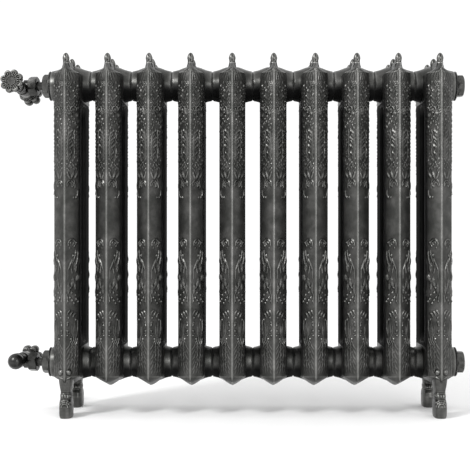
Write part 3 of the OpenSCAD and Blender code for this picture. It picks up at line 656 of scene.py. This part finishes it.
def plan_profile():
    """Half outline of a column from the ridge to the slot: x, depth, and the run along the facet."""
    points = [(0, 0), (0.6, 0), (LAND, LAND_DROP)]
    across, deep = FACET_HALF - LAND, FACET_DEEP - LAND_DROP
    out = (deep / FACET_RUN, -across / FACET_RUN)
    for t in shares(26):
        swell = FACET_SWELL * math.sin(math.pi * t)
        points.append((LAND + across * t + out[0] * swell, LAND_DROP + deep * t + out[1] * swell))
    for t in shares(7):
        points.append((FACET_HALF + (WIDE_HALF - FACET_HALF) * math.sin(t * math.pi / 2),
                       FACET_DEEP + (WIDE_DEEP - FACET_DEEP) * t))
    for t in shares(6):
        points.append((WIDE_HALF + (CORNER_HALF - WIDE_HALF) * t**1.3,
                       WIDE_DEEP + (SLOT_DEEP - CORNER_CUT_Y - WIDE_DEEP) * t))
    points.append((CORNER_HALF - CORNER_CUT_X, SLOT_DEEP))
    back = len(points)
    for t in np.linspace(1, 0, 5)[1:]:
        points.append(((CORNER_HALF - CORNER_CUT_X) * t, SLOT_DEEP))
    x, d = np.array(points, float).T
    run = np.concatenate([[0], np.cumsum(np.hypot(np.diff(x), np.diff(d)))]) - LAND
    nx, nd = np.gradient(d), -np.gradient(x)
    length = np.hypot(nx, nd)
    return x, d, run, nx / length, nd / length, back


# Height above the shoulder, and the share of the full width there.
ROOF_SHAPE = ((0, 1.0), (1.2, 0.93), (3, 0.79), (5, 0.64), (7, 0.51), (9, 0.41), (11, 0.34), (13, 0.29),
              (16, 0.25), (19, 0.23))


def width_share(z):
    """Share of the full width at height z: a keel below and an ogee roof above."""
    keel = np.clip((z - KEEL_Z) / KEEL_HEIGHT, 0, 1) ** 0.9 * 0.95 + 0.05
    roof = np.interp(z - SHOULDER_Z, *zip(*ROOF_SHAPE))
    near_hub = np.exp(-(((z - LOWER_HUB) / 36) ** 4)) + np.exp(-(((z - UPPER_HUB) / 36) ** 4))
    return np.minimum(keel, roof) * (1 + 0.02 * near_hub)


PLAIN_LOW_Z, PLAIN_HIGH_Z = 380, 458  # the shaft has no carving between these heights
CARVED_GAP, PLAIN_GAP, KEEL_GAP, LEAST_GAP = 1.6, 5.0, 0.9, 0.45


def rows_up():
    """Heights of the mesh's rows, closer together where there is carving."""
    angles = np.radians(np.linspace(0, 90, 13))
    low_arc = SLOT_LOW + SLOT_R - SLOT_R * np.sin(angles)
    high_arc = SLOT_HIGH - SLOT_R + SLOT_R * np.sin(angles)
    arcs = np.round(np.concatenate([low_arc, high_arc]), 3)
    free = [np.arange(KEEL_Z, KEEL_Z + 14, KEEL_GAP), np.arange(KEEL_Z + 14, PLAIN_LOW_Z, CARVED_GAP),
            np.arange(PLAIN_LOW_Z, PLAIN_HIGH_Z, PLAIN_GAP), np.arange(PLAIN_HIGH_Z, SHOULDER_Z, CARVED_GAP),
            np.linspace(SHOULDER_Z, ROOF_Z, 14)]
    rows = np.unique(np.round(np.concatenate([arcs, *free]), 3))
    keep = [rows[0]]
    fixed = set(arcs) | {round(ROOF_Z, 3)}
    for z in rows[1:]:
        if z - keep[-1] >= LEAST_GAP:
            keep.append(z)
        elif z in fixed:
            keep[-1] = z
    return np.array(keep)


def casting_skin(name, carving):
    """The closed outer skin of one casting, with its slot, about x = 0."""
    x, d, run, nx, nd, back = plan_profile()
    z = rows_up()
    rise = SLOT_R**2 - np.clip(SLOT_LOW + SLOT_R - z, 0, SLOT_R) ** 2
    fall = SLOT_R**2 - np.clip(z - (SLOT_HIGH - SLOT_R), 0, SLOT_R) ** 2
    inner = HALF_DEPTH - np.sqrt(np.minimum(rise, fall))
    spread = (inner - SLOT_DEEP) / SLOT_R

    # One quarter of the skin as a grid: rows go up, columns go from the ridge in to the slot.
    zz, xx = np.meshgrid(z, x, indexing="ij")
    dd = np.broadcast_to(d, xx.shape).copy()
    rr = np.broadcast_to(run, xx.shape)
    behind = dd > WIDE_DEEP
    stretch = ((inner - WIDE_DEEP) / (SLOT_DEEP - WIDE_DEEP))[:, None]
    dd = np.where(behind, WIDE_DEEP + (dd - WIDE_DEEP) * stretch, dd)
    flank = (np.arange(len(x)) < back)[None, :] & behind
    full = WIDE_HALF - (WIDE_HALF - xx) * (1 - ease(spread)[:, None])
    xx = np.where(flank, full, xx)
    end_x = full[:, back - 1 : back]
    xx[:, back:] = end_x * np.linspace(1, 0, len(x) - back + 1)[1:][None, :]

    # The carving lifts the facet along its normal and dies out at both of its edges.
    fade = ease(rr / 2.0) * ease((CARVED_RUN - rr) / 5)
    carved = (rr > 0) & (rr < CARVED_RUN)
    lift = np.where(carved, carving.height(np.clip(rr, 0, CARVED_RUN), zz), 0) * fade
    xx = xx + nx[None, :] * lift
    dd = dd + nd[None, :] * lift
    xx = xx * width_share(z)[:, None]
    xx[:, 0] = 0
    xx[:, -1] = 0
    xx = np.maximum(xx, 0)
    slant = KEEL_FRONT_RISE - (KEEL_FRONT_RISE + KEEL_MIDDLE_DROP) * np.clip(dd / (0.75 * HALF_DEPTH), 0, 1)
    zz = zz + slant * (1 - ease((zz - KEEL_Z) / KEEL_SLANT_REACH))
    quarter = np.stack([xx, dd - HALF_DEPTH, zz], -1)

    # Closed below and above on x = 0, open at the middle of the depth, and mirrored four ways.
    low_edge, high_edge = quarter[:1] * (0, 1, 1), quarter[-1:] * (0, 1, 1)
    grid = np.concatenate([low_edge, quarter, high_edge])
    rows, cols = grid.shape[:2]
    in_middle = (np.abs(grid[..., 1]) < 1e-6).reshape(-1)
    i, j = np.meshgrid(np.arange(rows - 1), np.arange(cols - 1), indexing="ij")
    corner = i * cols + j
    quads = np.stack([corner, corner + 1, corner + cols + 1, corner + cols], -1).reshape(-1, 4)
    quads = quads[~in_middle[quads].all(1)]
    verts, faces = [], []
    for sx in (1, -1):
        for sy in (1, -1):
            part = grid.reshape(-1, 3) * (sx, sy, 1)
            ordered = quads if sx * sy > 0 else quads[:, ::-1]
            faces.append(ordered + sum(len(v) for v in verts))
            verts.append(part)
    skin = new_piece(name, np.concatenate(verts), np.concatenate(faces))
    merge_and_turn_out(skin.data, 2e-6)
    return skin


def turned_about_x(name, points, z):
    """A closed solid of revolution about X at height z; each point is (x, radius)."""
    a = turn(96)
    return swept(name, [np.stack([np.full(96, x), r * np.sin(a), z + r * np.cos(a)], -1) for x, r in points])


# How far in from the hub's joint face, and the radius there.
HUB_SHAPE = ((0, 30.6), (0.9, 30.9), (1.1, 31.7), (1.9, 32.2), (5.5, 32.9), (9.5, 33.8), (13.5, 34.9),
             (18.0, 36.6), (23.0, 38.6), (28.0, 40.3), (32.0, 41.2))


def hub_shell(name, z):
    """The hub across the casting, a flare on both sides that is stepped at the joint."""
    half = [(HUB_HALF - inset, r) for inset, r in HUB_SHAPE]
    return turned_about_x(name, [(-x, r) for x, r in half] + half[::-1], z)


def bore_tool(name, z):
    reach = HUB_HALF + 3
    return turned_about_x(name, [(-reach, BORE_R), (reach, BORE_R)], z)


BUD_INSET = 20.0
# Height below the crest's top, and the radius there.
BUD_SHAPE = ((38.0, 6.6), (30.5, 6.3), (25.5, 6.1), (23.2, 6.5), (22.0, 6.9), (20.8, 6.5), (19.8, 6.1),
             (18.0, 6.5), (15.5, 7.0), (12.5, 7.3), (9.5, 7.2), (7.0, 6.7), (4.8, 5.8), (3.0, 4.6),
             (1.6, 3.3), (0.5, 1.8), (0.0, 0.4))


def bud_shell(name, y):
    """A pointed bud of four folded leaves on a beaded neck."""
    below_top, radii = zip(*BUD_SHAPE)
    heights = CREST_TOP - np.array(below_top)
    sides = 64
    a = turn(sides)
    facing = np.abs(((a + np.pi / 4) % (np.pi / 2)) - np.pi / 4)
    rings = []
    for z in np.linspace(heights[0], heights[-1], 44):
        body = float(ease((z - 748.5) / 4) * ease((767.5 - z) / 4))
        fold = 1 - 0.17 * body * np.abs(np.cos(2 * a)) ** 6
        lozenge = 0.20 * np.exp(-((facing / 0.26) ** 2) - ((z - 756.5) / 3.4) ** 2)
        r = np.interp(z, heights, radii) * np.minimum(fold + lozenge * body, 1.0)
        rings.append(np.stack([r * np.sin(a), y + r * np.cos(a), np.full(sides, z)], -1))
    return swept(name, rings)


def web_shell(name):
    """The scalloped web between the buds, with a rolled top edge."""
    span = HALF_DEPTH - BUD_INSET
    dip = span * 0.62
    rings = []
    for y in np.linspace(-span, span, 145):
        off = abs(y) - span / 2
        top = min(ROOF_Z + 9.5 + 0.4 * (dip - math.sqrt(max(dip**2 - off**2, 0))), ROOF_Z + 13)
        fold = 1.3 * abs(math.sin(math.pi * y / 8.2))
        half = [(8.0 + fold, 736), (5.6 + fold, ROOF_Z), (3.6 + fold, ROOF_Z + 4),
                (3.2 + 0.6 * fold, top - 1.7), (2.6, top - 0.6), (1.2, top)]
        rings.append(np.array([(-x, y, z) for x, z in half] + [(x, y, z) for x, z in half[::-1]]))
    return swept(name, rings)


# Height, half width, and how far the toe and the heel lie behind the casting's front.
FOOT_SHAPE = (
    (0, 12.2, 3.4, 47.5), (1.2, 12.8, 2.4, 48.4), (4, 13.3, 1.6, 49.3), (12, 13.6, 0.9, 50.6),
    (24, 13.6, 0.5, 51.8), (33, 13.2, 2.2, 50.0), (40, 12.0, 6.0, 46.5), (46, 11.2, 8.6, 43.8),
    (50.5, 11.0, 9.6, 42.2), (58, 11.8, 9.0, 43.4), (66, 13.4, 7.2, 47.0), (KEEL_Z + 11, 15.2, 5.0, 51.0),
    (90, 15.6, 4.5, 52.0), (100, 14.8, 6.5, 52.0),
)


def ridge(off, wide, power=2):
    """1 on a line and 0 well away from it."""
    return np.exp(-((off / wide) ** power))


def foot_shell(name, side):
    """The foot under one column: paw, beaded ankle, plain leg and knee; side is -1 at the front."""
    levels, *outlines = zip(*FOOT_SHAPE)
    sides = 112
    a = turn(sides)
    c, s = np.cos(a), np.sin(a)
    ahead = ridge(np.minimum(a, 2 * np.pi - a), 1.15, 4)
    rings = []
    for z in np.concatenate([[0], np.arange(1.0, 100, 1.1)]):
        w, toe, heel = (np.interp(z, levels, outline) for outline in outlines)
        middle, deep = (toe + heel) / 2, (heel - toe) / 2
        x = w * np.sign(s) * np.abs(s) ** 0.72
        y = -deep * np.sign(c) * np.abs(c) ** 0.72
        # The paw's smooth pad, with a rolled border up both edges, and fan arcs and rays over it.
        pad = ease((z - 2) / 4) * ease((30 - z) / 4)
        lift = pad * 0.8 * ridge(np.abs(x) - 0.86 * w, 1.2) * ahead
        for r in (6.5, 10.0, 13.5):
            lift += 1.0 * ridge(np.hypot(x, (z - 24) * 0.95) - r, 1.05) * ahead * (24 < z < 41)
        for k in range(-3, 4):
            lift += 0.7 * ridge(np.arctan2(x, max(z - 22, 0.5)) - k * 0.36, 0.07) * ahead * (29 < z < 38)
        # Ankle collar of beads between two cords.
        lift += 0.9 * ridge(z - 41.5, 0.9) + 0.9 * ridge(z - 51.5, 0.9)
        lift += 1.5 * np.abs(np.cos(a * 11)) ** 0.6 * math.sqrt(max(0, 1 - ((z - 46.5) / 3.6) ** 2))
        # Rims up both sides of the leg, a soft shin, and a fold above the knee.
        leg = ease((z - 52) / 5) * ease((92 - z) / 6)
        lift += leg * 0.9 * ridge(np.abs(x) - 0.88 * w, 1.1) * ahead
        lift += leg * 0.9 * ridge(x, 0.42 * w) * ahead
        lift += 1.2 * ridge(z - 83 - 0.03 * x**2, 1.3) * ahead
        norm = np.hypot(x / w**2, y / deep**2)
        y_out = np.maximum(y + lift * (y / deep**2) / norm + middle, 0.05)
        x_out = x + lift * (x / w**2) / norm
        rings.append(np.stack([x_out, side * (HALF_DEPTH - y_out), np.full(sides, z)], -1))
    return swept(name, rings)


def make_casting(name, footed):
    casting = casting_skin(name, carved_facet(footed))
    shells = [hub_shell("hub low", LOWER_HUB), hub_shell("hub high", UPPER_HUB), web_shell("web")]
    shells += [bud_shell("bud", y) for y in (BUD_INSET - HALF_DEPTH, 0, HALF_DEPTH - BUD_INSET)]
    if footed:
        shells += [foot_shell("foot", side) for side in (-1, 1)]
    cut_or_join(casting, shells, "UNION")
    cut_or_join(casting, [bore_tool("bore low", LOWER_HUB), bore_tool("bore high", UPPER_HUB)], "DIFFERENCE")
    merge_and_turn_out(casting.data, 2e-6)
    sharpen(casting, 42)
    mark_burnish(casting)
    mark_painted_shade(casting)
    return casting


def thin_painted_shade_on_open_end(mesh, side):
    """The outer flank of an end casting gets light, so its painted shade is cut to a quarter."""
    painted_shade = numbers(mesh.attributes["painted_shade"].data, "value", 1)[:, 0]
    outer = numbers(mesh.vertices, "co")[:, 0] * side > MM
    store(mesh, "painted_shade", np.where(outer, 0.25 * painted_shade, painted_shade))


def place_castings():
    ends = {SECTIONS[0]: -1, SECTIONS[-1]: 1}
    patterns = {True: make_casting("footed pattern", True), False: make_casting("plain pattern", False)}
    for name in SECTIONS:
        mesh = patterns[name in ends].data.copy()
        mesh.name = f"{name}_casting"
        # The end castings' outer flanks keep only a quarter of their painted shade.
        if name in ends:
            thin_painted_shade_on_open_end(mesh, ends[name])
        mesh.transform(Matrix.Translation((SECTION_X[name] * MM, 0, 0)))
        dress(show(mesh.name, mesh), CASTING, "radiator", "cast_iron_pewter", name)
    for pattern in patterns.values():
        throw_away(pattern)


def dress(piece, material, body, slot, *nodes):
    """Gives a piece its one material, the body it rides and the CAD nodes it stands for; the slot it is given
    is not used.
    """
    piece.data.materials.clear()
    piece.data.materials.append(material)
    piece.data.polygons.foreach_set("material_index", [0] * len(piece.data.polygons))
    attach(piece, body)
    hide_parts(*nodes)


# ---- valves


def valve_axes(kind):
    """The valve's own frame from its pipe inlet: x towards the radiator, y to the rear, z up."""
    mount = next(m for m in frame["record"]["mounts"] if m["name"] == f"{kind}_pipe_inlet")
    rear = Vector(mount["axis"]).normalized()
    across = rear.cross(Vector((0, 0, 1))).normalized()
    place = Matrix((across, rear, across.cross(rear))).transposed().to_4x4()
    place.translation = Vector(mount["pos_m"]) - rear * 50 * MM
    return place


def petal_radius(angle, lobes, start):
    """Outline of a ring of round petals, 1 at a petal's tip."""
    half = math.pi / lobes
    petal = 1.03 * math.sin(half) / (1 + math.sin(half))
    centre = 1 - petal
    off = (angle - start + half) % (2 * half) - half
    return centre * np.cos(off) + np.sqrt(np.maximum(petal**2 - (centre * np.sin(off)) ** 2, 0))


def petalled_turning(name, place, stations, lobes, start_deg):
    """A closed turning about Y whose stations are (y, radius, share of petal outline)."""
    sides = 240
    angle = turn(sides)
    petals = petal_radius(angle, lobes, math.radians(start_deg))
    rings = []
    for y, r, share in stations:
        r = r * (1 - share * (1 - petals))
        rings.append(np.stack([r * np.cos(angle), np.full(sides, y), r * np.sin(angle)], -1))
    piece = swept(name, rings + [rings[0]], caps=False)
    piece.data.transform(place)
    return piece


def rib_tree(name):
    """Geometry Nodes: rounded ribs in a ring about Z, each pointing outwards."""
    tree = bpy.data.node_groups.new(name, "GeometryNodeTree")
    sockets = {"Ribs": "Int", "Ring Radius": "Float", "Rib Length": "Float", "Rib Width": "Float",
               "Rib Height": "Float", "Turn": "Float", "Finish": "Material"}
    tree.interface.new_socket("Geometry", in_out="OUTPUT", socket_type="NodeSocketGeometry")
    for label, kind in sockets.items():
        tree.interface.new_socket(label, in_out="INPUT", socket_type=f"NodeSocket{kind}")

    node = partial(add_node, tree)
    given = node("NodeGroupInput", {}).outputs
    ring = {"Vertices": given["Ribs"], "Radius": given["Ring Radius"]}
    circle = node("GeometryNodeMeshCircle", ring, fill_type="NONE")
    place = node("GeometryNodeInputPosition", {}).outputs[0]
    heading = node("FunctionNodeAlignRotationToVector", {"Vector": place}, axis="X")
    rib = node("GeometryNodeMeshUVSphere", {"Segments": 12, "Rings": 8, "Radius": 1.0})
    sides = {"X": given["Rib Length"], "Y": given["Rib Width"], "Z": given["Rib Height"]}
    size = node("ShaderNodeCombineXYZ", sides).outputs[0]
    shaped = node("GeometryNodeTransform", {"Geometry": rib.outputs["Mesh"], "Scale": size})
    spread = node("GeometryNodeInstanceOnPoints", {
        "Points": circle.outputs["Mesh"],
        "Instance": shaped.outputs["Geometry"],
        "Rotation": heading.outputs["Rotation"],
    })
    angle = node("ShaderNodeCombineXYZ", {"Z": given["Turn"]}).outputs[0]
    made = node("GeometryNodeTransform", {"Geometry": spread.outputs["Instances"], "Rotation": angle})
    coat = {"Material": given["Finish"]}
    for kind, more in (("RealizeInstances", {}), ("SetShadeSmooth", {}), ("SetMaterial", coat)):
        made = node(f"GeometryNode{kind}", {"Geometry": made.outputs["Geometry"], **more})
    node("NodeGroupOutput", {"Geometry": made.outputs["Geometry"]})
    return tree


def grow(name, tree, **values):
    """Runs a tree on an empty mesh and returns the plain mesh object that it makes."""
    piece = new_piece(name, [(0, 0, 0)], [])
    step = piece.modifiers.new("tree", "NODES")
    step.node_group = tree
    sockets = {s.name: s.identifier for s in tree.interface.items_tree if s.in_out == "INPUT"}
    for label, value in values.items():
        step[sockets[label.replace("_", " ")]] = value
    return settle(piece)


RIBS = rib_tree("radial ribs")
FACE_UP = Matrix.Rotation(math.radians(90), 4, "X")


def ribs_at(name, place, y, ribs, radius, size, turn_deg=0.0):
    """A ring of ribs in the plane y of a valve's frame; size is each rib's length, width and height."""
    length, width, height = (v * MM for v in size)
    piece = grow(name, RIBS, Ribs=ribs, Ring_Radius=radius * MM, Rib_Length=length, Rib_Width=width,
                 Rib_Height=height, Turn=math.radians(turn_deg), Finish=ORNATE_BRASS)
    piece.data.transform(place @ Matrix.Translation((0, y * MM, 0)) @ FACE_UP)
    return piece


def join_pieces(main, others):
    """Adds the other meshes to the first piece's."""
    bm = bmesh.new()
    for piece in (main, *others):
        bm.from_mesh(piece.data)
    bm.to_mesh(main.data)
    bm.free()
    for piece in others:
        throw_away(piece)


def finish_ornate(piece, ribs, body, node):
    join_pieces(piece, ribs)
    sharpen(piece, 40)
    mark_burnish(piece, gain=0.8)
    dress(piece, ORNATE_BRASS, body, "valve_pewter", node)


WHEEL_FACE, WHEEL_START_DEG = -80.0, 28.5
# Depth behind the wheel's face, radius, and share of the petal outline.
WHEEL_SHAPE = (
    (1.0, 2.1, 0), (1.0, 7.6, 0), (0.5, 8.1, 0), (0.9, 8.7, 0), (2.4, 9.4, 0), (3.0, 11.0, 0),
    (2.8, 13.5, 0.15), (2.0, 16.8, 0.5), (0.9, 19.6, 0.85), (0.5, 21.9, 1), (1.0, 23.6, 1), (2.4, 24.9, 1),
    (4.2, 25.5, 1), (6.6, 25.6, 1), (9.0, 25.4, 1), (11.0, 24.3, 1), (12.4, 22.4, 1), (13.0, 19.0, 0.8),
    (13.2, 15.6, 0.2), (15.0, 14.2, 0), (15.6, 15.0, 0.2), (16.2, 17.6, 0.8), (17.2, 19.6, 1),
    (19.0, 20.6, 1), (21.4, 20.6, 1), (23.4, 19.6, 1), (24.7, 17.4, 1), (25.2, 14.6, 0.5), (25.6, 12.0, 0),
    (27.0, 10.2, 0), (28.4, 10.0, 0), (29.4, 9.4, 0), (30.0, 8.6, 0),
    (30.0, 4.05, 0), (6.0, 4.05, 0), (6.0, 2.1, 0),
)
# Depth behind the valve's middle, radius, and share of the petal outline.
BELL_SHAPE = (
    (17.0, 11.1, 0), (17.0, 12.6, 0), (17.5, 13.3, 0), (18.4, 13.6, 0), (23.5, 13.6, 0), (25.0, 14.0, 0),
    (27.0, 14.9, 0), (29.5, 15.6, 0), (32.0, 16.4, 0), (33.0, 18.0, 0.3), (33.4, 20.0, 0.7),
    (34.4, 21.8, 0.9), (36.6, 22.6, 0.9), (39.0, 22.4, 0.9), (40.6, 21.4, 0.9),
    (41.4, 20.2, 0.8), (42.2, 21.2, 0.8),
    (43.0, 22.8, 0.85), (43.8, 24.2, 0.9), (45.0, 25.1, 0.9), (47.4, 25.4, 0.9), (51.0, 25.4, 0.9),
    (55.0, 25.2, 0.9), (57.0, 24.2, 0.9), (58.0, 22.6, 0.9), (58.3, 19.8, 0.7), (58.8, 17.6, 0.2),
    (60.5, 14.6, 0), (62.0, 12.2, 0), (62.0, 8.0, 0), (61.5, 7.65, 0), (37.0, 7.65, 0), (33.5, 11.1, 0),
)


def make_handwheel():
    place = valve_axes("feed")
    stations = [(WHEEL_FACE + depth, r, share) for depth, r, share in WHEEL_SHAPE]
    wheel = petalled_turning("feed_handwheel_rosette", place, stations, 8, WHEEL_START_DEG)
    ribs = [
        ribs_at("front ribs", place, WHEEL_FACE + 1.8, 24, 15.2, (6.0, 0.95, 2.3), WHEEL_START_DEG),
        ribs_at("rear ribs", place, WHEEL_FACE + 20.0, 32, 17.4, (2.2, 0.7, 4.4), WHEEL_START_DEG),
    ]
    finish_ornate(wheel, ribs, "feed_handwheel_set", "feed_handwheel")


def make_inlet_bell(kind):
    place = valve_axes(kind)
    start_deg = {"feed": 14.0, "return": 0.0}[kind]
    bell = petalled_turning(f"{kind}_inlet_bell", place, BELL_SHAPE, 6, start_deg)
    ribs = [ribs_at("bell ribs", place, 33.0, 24, 15.6, (1.6, 0.5, 2.6))]
    finish_ornate(bell, ribs, "radiator", f"{kind}_inlet_nut")


DOME_MIDDLE, DOME_R = -50.0, 17.0
# Below the dome: the rolled rim, then the hollow inside; each is a place along the cap and a radius.
CAP_SKIRT = ((-49, 17.0), (-46.5, 16.9), (-44, 16.5), (-41, 15.7), (-39.6, 15.6), (-38.6, 16.2),
             (-37.4, 16.5), (-36.0, 16.2), (-35.0, 15.4), (-35.0, 13.2), (-46, 13.1), (-58, 8.1),
             (-61, 4.1), (-61, 0.6))


def make_lockshield_cap():
    """The domed cap, with a shallow groove turned round the dome."""
    stations = [(-66.95, 0.6)]
    for t in np.radians(np.linspace(4, 84, 26)):
        out = math.sin(t) * DOME_R
        groove = 0.45 * float(ease((out - 11.6) / 0.9)) * (1 - float(ease((out - 15.4) / 1.2)))
        stations.append((DOME_MIDDLE - (DOME_R - groove) * math.cos(t), (DOME_R - groove) * math.sin(t)))
    angle = turn(128)
    cap = swept("lockshield_dome", [np.stack([r * np.cos(angle), np.full(128, y), r * np.sin(angle)], -1)
                                    for y, r in (*stations, *CAP_SKIRT)])
    cap.data.transform(valve_axes("return"))
    sharpen(cap, 40)
    dress(cap, VALVE, "lockshield_cap_set", "valve_pewter", "lockshield_cap")


# ---- fittings from their own CAD shapes


def soften_node(node, material, slot, bevel):
    """A copy of a CAD node with its corners rounded, to stand for it."""
    mesh = frame["nodes"][node].data.copy()
    bm = bmesh.new()
    bm.from_mesh(mesh)
    bmesh.ops.remove_doubles(bm, verts=bm.verts, dist=3e-6)
    bmesh.ops.dissolve_degenerate(bm, edges=bm.edges, dist=3e-6)
    bmesh.ops.dissolve_limit(bm, angle_limit=math.radians(0.6), verts=bm.verts, edges=bm.edges)
    corners = [e for e in bm.edges if len(e.link_faces) == 2 and e.calc_face_angle(0) > math.radians(24)]
    bmesh.ops.bevel(bm, geom=corners, offset=bevel * MM, segments=2, profile=0.6, affect="EDGES",
                    clamp_overlap=True)
    bmesh.ops.remove_doubles(bm, verts=bm.verts, dist=2e-6)
    bmesh.ops.triangulate(bm, faces=[f for f in bm.faces if len(f.verts) > 4])
    bm.to_mesh(mesh)
    bm.free()
    mesh.name = f"{node}_softened"
    piece = show(mesh.name, mesh)
    sharpen(piece, 32)
    dress(piece, material, NODE_BODY[node], slot, node)


BODIES = frame["record"]["behaviour"]["bodies"]
NODE_BODY = {node: body for body, nodes in BODIES.items() for node in nodes}

SOFTENED = (
    (FITTING, "cast_iron_fittings", 0.5, ("reducing_bush_bottom", "reducing_bush_top", "blanking_plug",
                                          "air_vent_plug")),
    (VALVE, "valve_pewter", 0.25, ("feed_union_nut", "return_union_nut", "feed_bonnet", "return_bonnet",
                                   "feed_gland_nut", "return_gland_nut")),
)
COATED = (
    (VALVE, ("feed_valve_body", "return_valve_body", "feed_tail_pipe", "return_tail_pipe",
             "feed_handwheel_screw")),
    (STEEL, ("feed_spindle", "return_spindle", "nipples_bottom", "nipples_top")),
    (BRASS, ("feed_olive", "return_olive", "feed_disc", "return_disc", "air_vent_screw")),
    (WASHER, ("feed_disc_washer", "return_disc_washer")),
    (GASKET, ("feed_packing", "return_packing", "joint_gaskets_bottom", "joint_gaskets_top",
              *(f"end_gasket_{level}_{end}" for level in ("bottom", "top") for end in ("left", "right")))),
)


def coat_node(node, material):
    slots = frame["nodes"][node].material_slots
    for slot in slots:
        slot.material = material
    if not slots:
        frame["nodes"][node].data.materials.append(material)


# ---- studio


FLOOR_HALF, FLOOR_DROP = 9000, 0.2


def softbox(name, place, aim, size, power):
    """A rectangular light at a place in metres, turned to face the aim."""
    light = bpy.data.lights.new(name, "AREA")
    light.shape = "RECTANGLE"
    light.size, light.size_y = size
    light.energy = power
    lamp = show(name, light)
    lamp.location = place
    lamp.rotation_mode = "QUATERNION"
    lamp.rotation_quaternion = (Vector(aim) - Vector(place)).to_track_quat("-Z", "Y")


def make_studio():
    corners = ((-1, -1), (1, -1), (1, 1), (-1, 1))
    floor = new_piece("studio floor", [(x * FLOOR_HALF, y * FLOOR_HALF, -FLOOR_DROP) for x, y in corners],
                      [(0, 1, 2, 3)])
    paper = Finish("pale floor", Base_Color=(0.93, 0.93, 0.93, 1), Roughness=0.7, Specular_IOR_Level=0.2)
    floor.data.materials.append(paper.material)

    world = bpy.data.worlds.new("studio air")
    world.use_nodes = True
    sky = world.node_tree.nodes["Background"]
    sky.inputs["Color"].default_value = (1.0, 1.0, 1.0, 1)
    sky.inputs["Strength"].default_value = 1.08
    bpy.context.scene.view_settings.view_transform = "Standard"
    bpy.context.scene.world = world
    softbox("key softbox", (-2.3, -2.3, 2.5), (0, 0, 0.4), (0.8, 0.8), 95)
    softbox("fill softbox", (1.15, -2.7, 0.95), (0.3, 0, 0.4), (0.45, 1.1), 17)


def make_camera():
    """Level, in front of the radiator at the middle of its height."""
    eye = bpy.data.cameras.new("camera")
    eye.lens = 75.3
    eye.sensor_width = 36.0
    eye.shift_x = -0.0204
    camera = show("camera", eye)
    camera.location = (0.0200, -2.1425, 0.384)
    camera.rotation_euler = (math.radians(90), 0, 0)
    bpy.context.scene.camera = camera


# ---- the whole radiator

place_castings()
make_handwheel()
for kind in ("feed", "return"):
    make_inlet_bell(kind)
make_lockshield_cap()
for material, slot, bevel, nodes in SOFTENED:
    for node in nodes:
        soften_node(node, material, slot, bevel)
for material, nodes in COATED:
    for node in nodes:
        coat_node(node, material)
make_studio()
make_camera()
